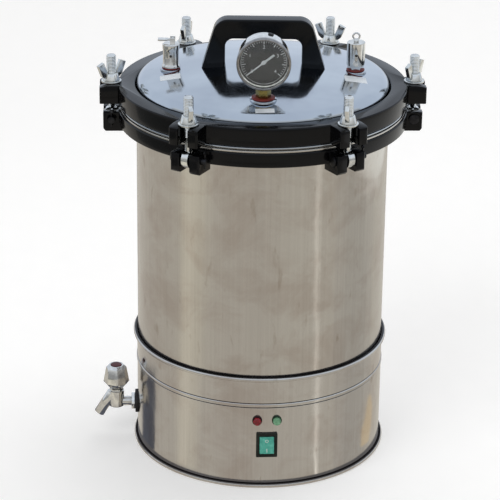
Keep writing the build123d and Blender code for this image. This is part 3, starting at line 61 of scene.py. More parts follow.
# camera, where the photograph was taken from
camera = {"place": (-181.09, -2597.84, 1315.07), "target": (-13.04, 0.84, 247.0), "roll": 0.716,
          "lens": 164.5, "sensor": 36, "reach": 50}
cameraData = bpy.data.cameras.new("camera")
cameraObject = bpy.data.objects.new("camera", cameraData)
bpy.context.collection.objects.link(cameraObject)
cameraData.lens = camera["lens"]
cameraData.sensor_width = camera["sensor"]
cameraData.clip_end = camera["reach"]
lookAlong = (Vector(camera["target"]) - Vector(camera["place"])).to_track_quat("-Z", "Y").to_matrix().to_4x4()
leaning = Matrix.Rotation(math.radians(camera["roll"]), 4, "Z")
cameraObject.matrix_world = Matrix.Translation(Vector(camera["place"]) * mm) @ lookAlong @ leaning
bpy.context.scene.camera = cameraObject
bpy.context.scene.view_settings.view_transform = "Standard"
print("stage: camera")


# shader helpers
def linear(rgb):
    return tuple(c / 255 / 12.92 if c <= 10 else ((c / 255 + 0.055) / 1.055) ** 2.4 for c in rgb)


def newMaterial(name, colour, metallic=0.0, roughness=0.4, **sockets):
    material = bpy.data.materials.new(name)
    material.use_nodes = True
    shader = material.node_tree.nodes["Principled BSDF"]
    shader.inputs["Base Color"].default_value = (*linear(colour), 1)
    shader.inputs["Metallic"].default_value = metallic
    shader.inputs["Roughness"].default_value = roughness
    for socket, value in sockets.items():
        shader.inputs[socket.replace("_", " ")].default_value = value
    return material


def objectPlace(material, scale):
    nodes, links = material.node_tree.nodes, material.node_tree.links
    place = nodes.new("ShaderNodeTexCoord")
    mapping = nodes.new("ShaderNodeMapping")
    mapping.inputs["Scale"].default_value = scale
    links.new(place.outputs["Object"], mapping.inputs["Vector"])
    return mapping.outputs["Vector"]


def noise(material, scale, detail=4.0, rough=0.55, distortion=0.0):
    nodes, links = material.node_tree.nodes, material.node_tree.links
    texture = nodes.new("ShaderNodeTexNoise")
    settings = {"Scale": 1.0, "Detail": detail, "Roughness": rough, "Distortion": distortion}
    for socket, number in settings.items():
        texture.inputs[socket].default_value = number
    scale = scale if isinstance(scale, tuple) else (scale,) * 3
    links.new(objectPlace(material, scale), texture.inputs["Vector"])
    return texture.outputs["Fac"]


def ranged(material, value, low, high, start=0.3, end=0.7):
    nodes, links = material.node_tree.nodes, material.node_tree.links
    mapRange = nodes.new("ShaderNodeMapRange")
    for socket, number in (("From Min", start), ("From Max", end), ("To Min", low), ("To Max", high)):
        mapRange.inputs[socket].default_value = number
    links.new(value, mapRange.inputs["Value"])
    return mapRange.outputs["Result"]


def tones(material, value, stops):
    nodes, links = material.node_tree.nodes, material.node_tree.links
    ramp = nodes.new("ShaderNodeValToRGB")
    for element, (place, colour) in zip(ramp.color_ramp.elements, stops):
        element.position = place
        element.color = (*linear(colour), 1)
    links.new(value, ramp.inputs["Fac"])
    return ramp.outputs["Color"]


def blended(material, first, second, factor=1.0, way="MULTIPLY"):
    nodes, links = material.node_tree.nodes, material.node_tree.links
    mix = nodes.new("ShaderNodeMix")
    mix.data_type = "RGBA"
    mix.blend_type = way
    mix.inputs[0].default_value = factor
    sockets = [s for s in mix.inputs if s.type == "RGBA"]
    links.new(first, sockets[0])
    links.new(second, sockets[1])
    return next(s for s in mix.outputs if s.type == "RGBA")


def maths(material, way, first, second):
    nodes, links = material.node_tree.nodes, material.node_tree.links
    node = nodes.new("ShaderNodeMath")
    node.operation = way
    for socket, value in zip(node.inputs, (first, second)):
        if hasattr(value, "is_output"):
            links.new(value, socket)
        else:
            socket.default_value = value
    return node.outputs[0]


def bumped(material, *layers):
    nodes, links = material.node_tree.nodes, material.node_tree.links
    last = None
    for height, distance in layers:
        bump = nodes.new("ShaderNodeBump")
        bump.inputs["Strength"].default_value = 1.0
        bump.inputs["Distance"].default_value = distance * mm
        links.new(height, bump.inputs["Height"])
        if last:
            links.new(last, bump.inputs["Normal"])
        last = bump.outputs["Normal"]
    links.new(last, nodes["Principled BSDF"].inputs["Normal"])


def join(material, socket, value):
    material.node_tree.links.new(value, material.node_tree.nodes["Principled BSDF"].inputs[socket])


def glowing(name, colour, strength=0.0):
    material = newMaterial(name, (0, 0, 0), roughness=1.0, Specular_IOR_Level=0.0)
    shader = material.node_tree.nodes["Principled BSDF"]
    shader.inputs["Emission Color"].default_value = (*colour, 1)
    shader.inputs["Emission Strength"].default_value = strength
    return material


# finishes: colours go from 0 to 255, pattern scales are per metre and bumps are in mm
sheet = {"streaks": (420, 420, 3.5), "broad": (9, 9, 1.6), "clouds": (16, 16, 20), "smudges": (75, 75, 24),
         "waves": (8, 8, 6), "ripples": (17, 17, 24), "grain": 0.0008}


def steelSheet(name, dark, light, rough=(0.12, 0.2), wave=0.9, ripple=0.8):
    material = newMaterial(name, light, metallic=1.0)
    streaks = noise(material, sheet["streaks"], detail=5, rough=0.6)
    broad = noise(material, sheet["broad"], detail=3, rough=0.5)
    clouds = noise(material, sheet["clouds"], detail=5, rough=0.62, distortion=0.5)
    smudges = noise(material, sheet["smudges"], distortion=0.3)
    colour = tones(material, streaks, [(0.25, dark), (0.75, light)])
    for pattern, stops in ((broad, [(0.3, (243, 241, 242)), (0.7, (255, 255, 255))]),
                           (clouds, [(0.36, (241, 236, 234)), (0.56, (255, 255, 255))]),
                           (smudges, [(0.63, (255, 255, 255)), (0.74, (230, 225, 220))])):
        colour = blended(material, colour, tones(material, pattern, stops))
    join(material, "Base Color", colour)
    join(material, "Roughness", ranged(material, blended(material, streaks, clouds, 0.6, "MIX"), *rough))
    bumped(material, (streaks, sheet["grain"]), (noise(material, sheet["waves"], detail=1), wave),
           (noise(material, sheet["ripples"], detail=1.5), ripple))
    return material


shellSteel = steelSheet("shellSteel", (193, 190, 184), (202, 199, 193))
vesselSteel = steelSheet("vesselSteel", (192, 189, 182), (201, 198, 191))
innerSteel = steelSheet("innerSteel", (160, 156, 148), (190, 187, 180), rough=(0.25, 0.4), wave=0.3,
                        ripple=0.1)


def lidFinish():
    material = newMaterial("lidSteel", (177, 183, 192), metallic=1.0)
    spun = noise(material, 60, detail=5, rough=0.6)
    patches = noise(material, 12, detail=3)
    join(material, "Base Color", tones(material, patches, [(0.3, (166, 173, 183)), (0.7, (188, 195, 202))]))
    join(material, "Roughness", ranged(material, spun, 0.07, 0.14))
    bumped(material, (spun, 0.004), (noise(material, 14, detail=1), 0.05))
    return material


lidSteel = lidFinish()


def enamelFinish():
    material = newMaterial("blackEnamel", (8, 9, 10), roughness=0.12, Specular_IOR_Level=0.2)
    flow = noise(material, 90, detail=2)
    dust = noise(material, 900, detail=3)
    join(material, "Base Color", tones(material, noise(material, 25), [(0.35, (4, 4, 5)), (0.7, (9, 9, 11))]))
    join(material, "Roughness", ranged(material, dust, 0.08, 0.2))
    bumped(material, (flow, 0.03), (dust, 0.002))
    return material


blackEnamel = enamelFinish()


def mouldedFinish(name, dark, light, rough=(0.1, 0.24)):
    material = newMaterial(name, dark, roughness=0.16, Specular_IOR_Level=0.18)
    flow = noise(material, (40, 40, 70), detail=5, rough=0.6, distortion=0.6)
    join(material, "Base Color", tones(material, flow, [(0.35, dark), (0.68, light)]))
    join(material, "Roughness", ranged(material, noise(material, 300), *rough))
    bumped(material, (noise(material, 130, detail=2), 0.015))
    return material


blackPhenolic = mouldedFinish("blackPhenolic", (4, 5, 7), (10, 11, 14))
switchBlack = mouldedFinish("switchBlack", (19, 23, 20), (34, 39, 34), rough=(0.2, 0.36))
knobCap = mouldedFinish("knobCap", (70, 12, 16), (96, 20, 22))
lampRed = mouldedFinish("lampRed", (26, 5, 8), (40, 9, 13))
lampGreen = mouldedFinish("lampGreen", (10, 40, 24), (18, 56, 34))
# dark finish for painted shade: the dark corners of the rolls and the dark lines beside the bead
paintedShadeBlack = mouldedFinish("paintedShadeBlack", (8, 7, 10), (20, 18, 24), rough=(0.14, 0.3))


def platedFinish(name, dark, light, rough, tint=None):
    material = newMaterial(name, light, metallic=1.0)
    mottle = noise(material, 150, detail=5, rough=0.65)
    broad = noise(material, 28, detail=2)
    base = tones(material, mottle, [(0.3, dark), (0.7, light)])
    if tint:
        base = blended(material, base, tones(material, broad, [(0.35, (255, 255, 255)), (0.7, tint)]))
    join(material, "Base Color", base)
    join(material, "Roughness", ranged(material, mottle, *rough))
    bumped(material, (mottle, 0.006), (broad, 0.05))
    return material


blackenedSteel = platedFinish("blackenedSteel", (34, 34, 36), (58, 58, 60), (0.3, 0.45))
zincPlate = platedFinish("zincPlate", (204, 204, 200), (232, 232, 227), (0.1, 0.2), tint=(240, 242, 246))
valveChrome = platedFinish("valveChrome", (194, 193, 190), (228, 227, 223), (0.06, 0.14))
brassFinish = platedFinish("brassFinish", (118, 106, 58), (152, 140, 88), (0.18, 0.32))
heaterSteel = platedFinish("heaterSteel", (84, 76, 68), (128, 116, 104), (0.32, 0.5), tint=(214, 196, 190))
tubeSteel = platedFinish("tubeSteel", (176, 172, 164), (206, 202, 194), (0.12, 0.24))
bezelChrome = platedFinish("bezelChrome", (120, 119, 118), (164, 162, 160), (0.08, 0.16))


def softFinish(name, dark, light, rough, grainScale=500, grain=0.01):
    material = newMaterial(name, light, roughness=rough[0], Specular_IOR_Level=0.4)
    grainHeight = noise(material, grainScale)
    join(material, "Base Color", tones(material, noise(material, 60), [(0.32, dark), (0.7, light)]))
    join(material, "Roughness", ranged(material, grainHeight, *rough))
    bumped(material, (grainHeight, grain))
    return material


redSilicone = softFinish("redSilicone", (92, 22, 18), (122, 34, 28), (0.38, 0.55))
whiteSilicone = softFinish("whiteSilicone", (206, 204, 196), (224, 222, 214), (0.4, 0.55))
blackRubber = softFinish("blackRubber", (17, 17, 18), (30, 30, 31), (0.5, 0.7), grain=0.02)
ceramicFinish = softFinish("ceramicFinish", (206, 200, 186), (226, 221, 208), (0.3, 0.5))
dialFinish = softFinish("dialFinish", (12, 12, 11), (20, 19, 18), (0.35, 0.5), grainScale=1500, grain=0.003)
dialInk = softFinish("dialInk", (206, 208, 210), (232, 233, 234), (0.4, 0.55), grainScale=2500, grain=0.001)
labelWhite = softFinish("labelWhite", (196, 202, 208), (220, 226, 232), (0.3, 0.45), grainScale=900,
                        grain=0.004)
markWhite = softFinish("markWhite", (196, 204, 198), (222, 228, 222), (0.35, 0.5), grain=0.004)


def lensFinish(name, deep, bright, through):
    material = newMaterial(name, bright, roughness=0.12, IOR=1.49, Transmission_Weight=through)
    cells = material.node_tree.nodes.new("ShaderNodeTexVoronoi")
    cells.inputs["Scale"].default_value = 1.0
    material.node_tree.links.new(objectPlace(material, (900, 900, 900)), cells.inputs["Vector"])
    glow = noise(material, 220, detail=3)
    join(material, "Base Color", tones(material, glow, [(0.3, deep), (0.72, bright)]))
    join(material, "Roughness", ranged(material, glow, 0.08, 0.2))
    bumped(material, (cells.outputs["Distance"], 0.05))
    return material


lensRed = lensFinish("lensRed", (104, 10, 20), (164, 24, 40), through=0.2)
lensGreen = lensFinish("lensGreen", (92, 150, 110), (146, 204, 162), through=0.25)
rockerTurquoise = lensFinish("rockerTurquoise", (58, 158, 140), (104, 204, 182), through=0.12)


def glassFinish():
    material = newMaterial("gaugeLens", (244, 247, 248), roughness=0.03, IOR=1.45, Transmission_Weight=1.0)
    smear = noise(material, 50, distortion=0.4)
    join(material, "Roughness", ranged(material, smear, 0.015, 0.06))
    join(material, "Base Color", tones(material, smear, [(0.3, (238, 243, 244)), (0.7, (252, 254, 254))]))
    return material


gaugeLens = glassFinish()
print("stage: finishes")


# shaping helpers, in mm and degrees
# the first three are the angles taken as flat, bevelled as sharp and shaded as sharp
soft = {"flat": 0.6, "sharp": 35, "smooth": 35, "segments": 2, "smallCut": 3, "largeCut": 8, "largeFrom": 2,
        "merged": 0.002, "cadMerged": 0.01}


def at(x, y, z):
    return Matrix.Translation(Vector((x, y, z)) * mm)


def turnedOver(degrees, axis):
    return Matrix.Rotation(math.radians(degrees), 4, axis)


def around(radius, degrees):
    return radius * math.cos(math.radians(degrees)), radius * math.sin(math.radians(degrees))


def turned(outline, steps=180, turn=None):
    # outline holds corners (radius, height[, cut]) and arcs {"about": (radius, height), "turn", "steps"}
    bm = bmesh.new()
    last, cuts = None, []
    for part in outline:
        if isinstance(part, dict):
            middle = Vector((part["about"][0], 0, part["about"][1])) * mm
            made = bmesh.ops.spin(bm, geom=[last], cent=middle, axis=(0, -1, 0),
                                  angle=math.radians(part["turn"]), steps=part["steps"], use_duplicate=False)
            last, cut = next(v for v in made["geom_last"] if isinstance(v, bmesh.types.BMVert)), None
        else:
            corner = bm.verts.new((part[0] * mm, 0, part[1] * mm))
            if last:
                bm.edges.new((last, corner))
            last, cut = corner, part[2] if len(part) > 2 else None
        if cut:
            cuts.append((last, cut))
    for corner, cut in cuts:
        segments = soft["smallCut" if cut < soft["largeFrom"] else "largeCut"]
        bmesh.ops.bevel(bm, geom=[corner], offset=cut * mm, offset_type="OFFSET", affect="VERTICES",
                        segments=segments, profile=0.5, material=-1, clamp_overlap=False)
    bmesh.ops.spin(bm, geom=bm.verts[:] + bm.edges[:], cent=(0, 0, 0), axis=(0, 0, 1),
                   angle=math.radians(360), steps=steps, use_merge=True, use_duplicate=False)
    bmesh.ops.remove_doubles(bm, verts=bm.verts[:], dist=soft["merged"] * mm)
    bmesh.ops.recalc_face_normals(bm, faces=bm.faces[:])
    if turn:
        bmesh.ops.transform(bm, matrix=turn, verts=bm.verts[:])
    return bm


def cadCopy(*names):
    bm = bmesh.new()
    for name in names:
        bm.from_mesh(frame["nodes"][name].data)
    bmesh.ops.remove_doubles(bm, verts=bm.verts[:], dist=soft["cadMerged"] * mm)
    bmesh.ops.dissolve_degenerate(bm, edges=bm.edges[:], dist=soft["merged"] * mm)
    return bm


def softened(bm, edge):
    bmesh.ops.dissolve_limit(bm, angle_limit=math.radians(soft["flat"]), verts=bm.verts[:], edges=bm.edges[:])
    sharp = math.radians(soft["sharp"])
    edges = [e for e in bm.edges if len(e.link_faces) == 2 and e.calc_face_angle(0) > sharp]
    bmesh.ops.bevel(bm, geom=edges, offset=edge * mm, offset_type="OFFSET", affect="EDGES",
                    segments=soft["segments"], profile=0.5, material=-1, clamp_overlap=True)
    return bm


def placed(bm, name):
    mesh = bpy.data.meshes.new(name)
    bm.to_mesh(mesh)
    bm.free()
    made = bpy.data.objects.new(name, mesh)
    bpy.context.collection.objects.link(made)
    return made


def shaded(mesh, smooth):
    mesh.shade_smooth()
    mesh.set_sharp_from_angle(angle=math.radians(smooth))


def finished(bm, name, body, slotName, material, *nodes, smooth=soft["smooth"]):
    for face in bm.faces:
        face.material_index = 0
    piece = placed(bm, name)
    piece.data.materials.append(material)
    shaded(piece.data, smooth)
    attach(piece, body)
    if nodes:
        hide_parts(*nodes)
    return piece


def added(bm, other):
    extra = bpy.data.meshes.new("extra")
    other.to_mesh(extra)
    other.free()
    bm.from_mesh(extra)
    bpy.data.meshes.remove(extra)
    return bm


def meshFrom(thing):
    bpy.context.view_layer.update()
    return bpy.data.meshes.new_from_object(thing.evaluated_get(bpy.context.evaluated_depsgraph_get()))


def cutFrom(piece, cutters):
    for cutter in cutters:
        cutterObject = placed(cutter, "cutter")
        boolean = piece.modifiers.new("cut", "BOOLEAN")
        boolean.operation = "DIFFERENCE"
        boolean.solver = "EXACT"
        boolean.object = cutterObject
        whole, old = meshFrom(piece), piece.data
        piece.modifiers.clear()
        piece.data = whole
        bpy.data.meshes.remove(old)
        bpy.data.objects.remove(cutterObject)
    shaded(piece.data, soft["smooth"])


def block(size, centre):
    bm = bmesh.new()
    bmesh.ops.create_cube(bm, size=1.0)
    bmesh.ops.scale(bm, vec=Vector(size) * mm, verts=bm.verts[:])
    bmesh.ops.translate(bm, vec=Vector(centre) * mm, verts=bm.verts[:])
    return bm


def rod(radius, length, matrix, segments=48):
    bm = bmesh.new()
    bmesh.ops.create_cone(bm, cap_ends=True, segments=segments, radius1=radius * mm, radius2=radius * mm,
                          depth=length * mm, matrix=matrix)
    return bm


def grown(bm, faces, along):
    made = bmesh.ops.extrude_face_region(bm, geom=faces)["geom"]
    moved = [v for v in made if isinstance(v, bmesh.types.BMVert)]
    bmesh.ops.translate(bm, vec=Vector(along) * mm, verts=moved)
    bmesh.ops.recalc_face_normals(bm, faces=bm.faces[:])


def laidOn(bm, node, towards, lift, thickness):
    # every point drops on to the CAD surface, then the patch gets its thickness
    surface = cadCopy(node)
    tree = BVHTree.FromBMesh(surface)
    surface.free()
    way = Vector(towards).normalized()
    for vert in bm.verts:
        hit = tree.ray_cast(vert.co - way * 0.1, way)[0]
        if hit:
            vert.co = hit - way * lift * mm
    grown(bm, bm.faces[:], -way * thickness)
    return bm


# vessel
vessel = {"radius": 151.5, "wall": 1.5, "underside": 112.0, "corner": 18.0, "flangeRadius": 171.0,
          "flange": (435.1, 437.6), "flangeCuts": (0.5, 0.4, 0.6), "mouth": 3.0}
inner, floorTop = vessel["radius"] - vessel["wall"], vessel["underside"] + vessel["wall"]
low, high = vessel["flange"]
bendCut, lowCut, highCut = vessel["flangeCuts"]
finished(turned([(0, vessel["underside"]), (vessel["radius"], vessel["underside"], vessel["corner"]),
                 (vessel["radius"], low, bendCut), (vessel["flangeRadius"], low, lowCut),
                 (vessel["flangeRadius"], high, highCut), (inner, high, vessel["mouth"]),
                 (inner, floorTop, vessel["corner"] - vessel["wall"]), (0, floorTop)]),
         "vessel", "base", "chamber_steel", vesselSteel, "chamber")

# base skirt with its rolled edges and bead
skirt = {"inner": 151.7, "outer": 152.5, "roll": 2.6, "rollRadius": 154.3, "rollHeights": (2.3, 143.4),
         "beadCentre": (151.5, 108.5), "bead": 2.6, "beadFace": 153.4, "beadCut": 0.4, "groove": 151.95,
         "shelf": (123.7, 110.5, 112.0), "steps": 216}
beadSteps = {"wall": 0.9, "groove": 0.2, "face": 0.7}  # above or below the ends of the bead
bottomRoll, topRoll = skirt["rollHeights"]
offWall = math.degrees(math.acos((skirt["rollRadius"] - skirt["outer"]) / skirt["roll"]))
offBead = math.degrees(math.acos((skirt["outer"] - skirt["beadCentre"][0]) / skirt["bead"]))
offFloor = math.degrees(math.asin(bottomRoll / skirt["roll"]))
beadTop = skirt["beadCentre"][1] + skirt["bead"] * math.sin(math.radians(offBead))
beadFoot = 2 * skirt["beadCentre"][1] - beadTop
shelfRadius, shelfLow, shelfTop = skirt["shelf"]
rollFoot = skirt["roll"] * math.cos(math.radians(offFloor))
skirtShape = turned([
    (skirt["inner"], bottomRoll), (skirt["inner"], shelfLow), (shelfRadius, shelfLow),
    (shelfRadius, shelfTop), (skirt["inner"], shelfTop), (skirt["inner"], topRoll),
    {"about": (skirt["rollRadius"], topRoll), "turn": -(360 - offWall), "steps": 22},
    (skirt["outer"], beadTop + beadSteps["wall"]), (skirt["groove"], beadTop + beadSteps["groove"]),
    (skirt["beadFace"], beadTop - beadSteps["face"], skirt["beadCut"]),
    (skirt["beadFace"], beadFoot + beadSteps["face"], skirt["beadCut"]),
    (skirt["groove"], beadFoot - beadSteps["groove"]), (skirt["outer"], beadFoot - beadSteps["wall"]),
    (skirt["outer"], bottomRoll + skirt["roll"] * math.sin(math.radians(offWall))),
    {"about": (skirt["rollRadius"], bottomRoll), "turn": -(180 - offWall + offFloor), "steps": 12},
    (skirt["rollRadius"] - rollFoot, 0),
    {"about": (skirt["rollRadius"], bottomRoll), "turn": -(90 - offFloor), "steps": 4},
], steps=skirt["steps"])
baseSkirt = finished(skirtShape, "baseSkirt", "base", "shell_steel", shellSteel, "base_shell")

# painted shade: a dark bead in the corner of each roll, over these angles of it, stands for the shaded groove
# and the dark that the roll mirrors there, and dark lines beside the bead stand for the shade at its edges
grooveShade = {"lift": 0.22, "depth": 0.5, "stride": 8, "lip": (178, 66), "foot": (134, 70)}
for name, height in (("lip", topRoll), ("foot", bottomRoll)):
    start, end = grooveShade[name]
    outward = [around(skirt["roll"] + grooveShade["lift"], a) for a in range(start, end - 1, -grooveShade["stride"])]
    inward = [around(skirt["roll"] - grooveShade["depth"], a) for a in range(end, start + 1, grooveShade["stride"])]
    outline = [(skirt["rollRadius"] + x, height + y) for x, y in outward + inward + outward[:1]]
    finished(turned(outline), name + "GrooveShade", "base", "black_rubber", paintedShadeBlack)

# painted shade: thin dark rings just inside the ends of the bead stand for the shade at its edges
shadeLines, shadeLine = bmesh.new(), {"height": 0.75, "from": 151.9, "to": 152.58, "inset": 0.35, "cut": 0.15}
for middle in (beadTop + shadeLine["inset"], beadFoot - shadeLine["inset"]):
    low, high = middle - shadeLine["height"] / 2, middle + shadeLine["height"] / 2
    added(shadeLines, turned([(shadeLine["from"], low), (shadeLine["to"], low, shadeLine["cut"]), (shadeLine["to"], high, shadeLine["cut"]),
                         (shadeLine["from"], high), (shadeLine["from"], low)]))
finished(shadeLines, "beadShadeLines", "base", "black_rubber", paintedShadeBlack)

# openings in the skirt: sizes and heights, and for the weep hole its angle too
openings = {"switch": (22.4, 28.4, 57), "lamps": (4.6, 11.8, 89.3), "inlet": (28.4, 20.9, 58),
            "tap": (6.2, 44.2), "weep": (2.75, -162, 121.8), "wallAt": 152, "through": 20}
wide, tall, height = openings["switch"]
inletWide, inletTall, inletHeight = openings["inlet"]
lampHole, lampSide, lampHeight = openings["lamps"]
tapHole, tapHeight = openings["tap"]
weepHole, weepAngle, weepHeight = openings["weep"]
wallAt, through = openings["wallAt"], openings["through"]
facing, sideways = turnedOver(90, "X"), turnedOver(90, "Y")
cutFrom(baseSkirt, [
    block((wide, through, tall), (0, -wallAt, height)),
    block((inletWide, through, inletTall), (0, wallAt, inletHeight)),
    rod(lampHole, through, at(-lampSide, -wallAt, lampHeight) @ facing),
    rod(lampHole, through, at(lampSide, -wallAt, lampHeight) @ facing),
    rod(tapHole, through, at(-wallAt, 0, tapHeight) @ sideways),
    rod(weepHole, through, turnedOver(weepAngle, "Z") @ at(wallAt, 0, weepHeight) @ sideways, 32)])
print("stage: vessel and base skirt")

# lid pan, its gasket, and a black ring over its flange that is painted shade, standing for the dark gap under
# the upper clamp ring
lidPan = {"radius": 151.2, "wall": 1.5, "flangeRadius": 171.0, "flange": (439.6, 441.5), "flangeCut": 0.5,
          "crown": 785.0, "crownCentre": -297.8, "crownEdge": 138, "arcSteps": 14, "shoulder": 9.5,
          "innerShoulder": 8.3, "foot": 1.4, "mouth": 1.0}


def crownHeight(radius, sphere=lidPan["crown"]):
    return lidPan["crownCentre"] + math.sqrt(sphere ** 2 - radius ** 2)


panInner = lidPan["radius"] - lidPan["wall"]
innerCrown = lidPan["crown"] - lidPan["wall"]
low, high = lidPan["flange"]
outerTurn = math.degrees(math.asin(lidPan["crownEdge"] / lidPan["crown"]))
innerTurn = math.degrees(math.asin(lidPan["crownEdge"] / innerCrown))
finished(turned([
    (0, crownHeight(0)),
    {"about": (0, lidPan["crownCentre"]), "turn": -outerTurn, "steps": lidPan["arcSteps"]},
    (lidPan["radius"], crownHeight(lidPan["radius"]), lidPan["shoulder"]),
    (lidPan["radius"], high, lidPan["foot"]),
    (lidPan["flangeRadius"], high, lidPan["flangeCut"]), (lidPan["flangeRadius"], low, lidPan["flangeCut"]),
    (panInner, low, lidPan["mouth"]), (panInner, crownHeight(panInner, innerCrown), lidPan["innerShoulder"]),
    (lidPan["crownEdge"], crownHeight(lidPan["crownEdge"], innerCrown)),
    {"about": (0, lidPan["crownCentre"]), "turn": innerTurn, "steps": lidPan["arcSteps"]},
]), "lidPan", "lid", "lid_steel", lidSteel, "lid")

gasket = {"radii": (153, 166), "heights": (437.6, 439.6), "cut": 0.6}
(near, far), (low, high), cut = gasket["radii"], gasket["heights"], gasket["cut"]
finished(turned([(near, low), (far, low, cut), (far, high, cut), (near, high, cut), (near, low)], steps=120),
         "lidGasket", "lid", "white_silicone", whiteSilicone, "lid_gasket")

# painted shade: a black ring in the gap between the lid's flange and the upper clamp ring
flangeShade = {"radii": (151.0, 169.6), "heights": (441.5, 442.9), "cut": 0.3}
(near, far), (low, high), cut = flangeShade["radii"], flangeShade["heights"], flangeShade["cut"]
finished(turned([(near, low), (far, low), (far, high, cut), (near, high), (near, low)], steps=120),
         "flangeShadeRing", "lid", "black_rubber", blackRubber)
print("stage: lid")

# clamp bolts: the CAD eye below, a cut thread above
clampBolts = {"count": 6, "circle": 181.0, "turn": -1.5, "threadFrom": 450.5, "threadTo": 498.5,
              "thread": 5.9, "depth": 0.65, "pitch": 1.75, "ridge": (0.6, 0.9, 1.5), "runOut": 2.2,
              "point": 0.6, "overlap": 0.3}


def boltPlace(count, height):
    angle = 360 / clampBolts["count"] * count + clampBolts["turn"]
    return turnedOver(angle, "Z") @ at(clampBolts["circle"], 0, height)


start, end, point = clampBolts["threadFrom"], clampBolts["threadTo"], clampBolts["point"]
crest, root = clampBolts["thread"], clampBolts["thread"] - clampBolts["depth"]
rise, fall, foot = clampBolts["ridge"]
thread, height = [(0, start - clampBolts["overlap"]), (root, start - clampBolts["overlap"])], start
while height < end - clampBolts["runOut"]:
    thread += [(root, height), (crest, height + rise), (crest, height + fall), (root, height + foot)]
    height += clampBolts["pitch"]
thread += [(root, end - point), (root - point, end), (0, end)]
for count in range(clampBolts["count"]):
    eye = cadCopy(f"swing_bolt_{count + 1}")
    bmesh.ops.bisect_plane(eye, geom=eye.verts[:] + eye.edges[:] + eye.faces[:], dist=0.001 * mm,
                           plane_co=(0, 0, start * mm), plane_no=(0, 0, 1), clear_outer=True)
    bmesh.ops.holes_fill(eye, edges=[e for e in eye.edges if e.is_boundary], sides=0)
    finished(added(eye, turned(thread, steps=28, turn=boltPlace(count, 0))), f"swingBolt{count + 1}",
             f"bolt_{count + 1}", "zinc_plate", zincPlate, f"swing_bolt_{count + 1}", smooth=30)

# pieces whose CAD form is kept: name, slot, finish and how far the edges are softened
keptForms = {
    "body_ring": ("lowerRing", "black_enamel", blackEnamel, 0.5),
    "lid_ring": ("upperRing", "black_enamel", blackEnamel, 0.5),
    "handle": ("carryHandle", "black_bakelite", blackPhenolic, 0),
    "handle_screws": ("handleScrews", "zinc_plate", zincPlate, 0.2),
    "hinge_pins": ("hingePins", "black_enamel", blackenedSteel, 0.2),
    "lid_nuts": ("fittingNuts", "brass", brassFinish, 0.2),
    "release_valve_body": ("releaseValve", "valve_chrome", valveChrome, 0.25),
    "release_lever": ("releaseLever", "valve_chrome", valveChrome, 0.25),
    "safety_valve_body": ("safetyValve", "valve_chrome", valveChrome, 0.25),
    "safety_stem": ("safetyRing", "valve_chrome", valveChrome, 0),
    "relief_tube": ("reliefTube", "tube_steel", tubeSteel, 0),
    "gauge_stem": ("gaugeStem", "brass", brassFinish, 0.25),
    "switch_bezel": ("switchBezel", "switch_black", switchBlack, 0.25),
    "switch_rocker": ("switchRocker", "rocker_green", rockerTurquoise, 0.25),
    "mains_inlet": ("mainsInlet", "black_bakelite", blackPhenolic, 0.2),
    "tap_washer": ("tapWasher", "black_rubber", blackRubber, 0.4),
    "tap_nut": ("tapNut", "valve_chrome", valveChrome, 0.3),
    "tap_body": ("tapBody", "valve_chrome", valveChrome, 0.3),
    "tap_spindle": ("tapSpindle", "valve_chrome", valveChrome, 0),
    "tap_knob": ("tapKnob", "valve_chrome", valveChrome, 0.5),
    "tap_cap": ("tapCap", "cap_red", knobCap, 0.4),
    "drain_pipe": ("drainPipe", "tube_steel", tubeSteel, 0),
    "base_plate": ("basePlate", "shell_steel", innerSteel, 0),
    "base_plate_screws": ("basePlateScrews", "zinc_plate", zincPlate, 0.15),
    "support_rack": ("supportRack", "inner_steel", innerSteel, 0),
    "basket": ("basketCan", "inner_steel", innerSteel, 0),
    "basket_bail": ("basketBail", "inner_steel", innerSteel, 0),
    "heating_element": ("heatingElement", "heater_steel", heaterSteel, 0),
    "thermal_cutout": ("thermalCutout", "ceramic", ceramicFinish, 0.15),
    "terminal_block": ("terminalBlock", "ceramic", ceramicFinish, 0.15),
}
for count in range(1, clampBolts["count"] + 1):
    keptForms[f"clamp_washer_{count}"] = (f"clampWasher{count}", "zinc_plate", zincPlate, 0.3)
for node, (name, slotName, material, edge) in keptForms.items():
    shape = cadCopy(node)
    if edge:
        softened(shape, edge)
    finished(shape, name, frame["nodes"][node]["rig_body"], slotName, material, node)

# wing nuts: a cone with two plates leaning outwards, (distance from the bolt, height) at the corners
wingNuts = {"turns": (54, -24, 72, 36, 98, 78),
            "cone": [(5.95, 0.06), (10.1, 0.06, 0.5), (9.7, 1.8, 0.5), (7.7, 9.0, 1.0), (5.95, 9.2)],
            "wing": [(6.4, 3.0), (10.5, 3.2), (14.6, 6.4), (20.2, 20.2), (12.0, 23.6), (6.4, 9.5)],
            "thickness": 4.8, "bevel": 0.55}
for count, angle in enumerate(wingNuts["turns"]):
    node, half = f"wing_nut_{count + 1}", wingNuts["thickness"] / 2
    seat = min(v.co.z for v in frame["nodes"][node].data.vertices) / mm
    place = Matrix.Translation(boltPlace(count, seat).to_translation()) @ turnedOver(angle, "Z")
    nut = turned(wingNuts["cone"] + [wingNuts["cone"][0]], steps=48, turn=place)
    for side in (0, 180):
        wing = bmesh.new()
        face = wing.faces.new([wing.verts.new((r * mm, -half * mm, z * mm)) for r, z in wingNuts["wing"]])
        grown(wing, [face], (0, wingNuts["thickness"], 0))
        bmesh.ops.bevel(wing, geom=wing.edges[:], offset=wingNuts["bevel"] * mm, offset_type="OFFSET",
                        affect="EDGES", segments=3, profile=0.5, material=-1, clamp_overlap=True)
        bmesh.ops.transform(wing, matrix=place @ turnedOver(side, "Z"), verts=wing.verts[:])
        added(nut, wing)
    finished(nut, f"wingNut{count + 1}", f"nut_{count + 1}", "zinc_plate", zincPlate, node)
print("stage: rings, clamps, valves and tap")

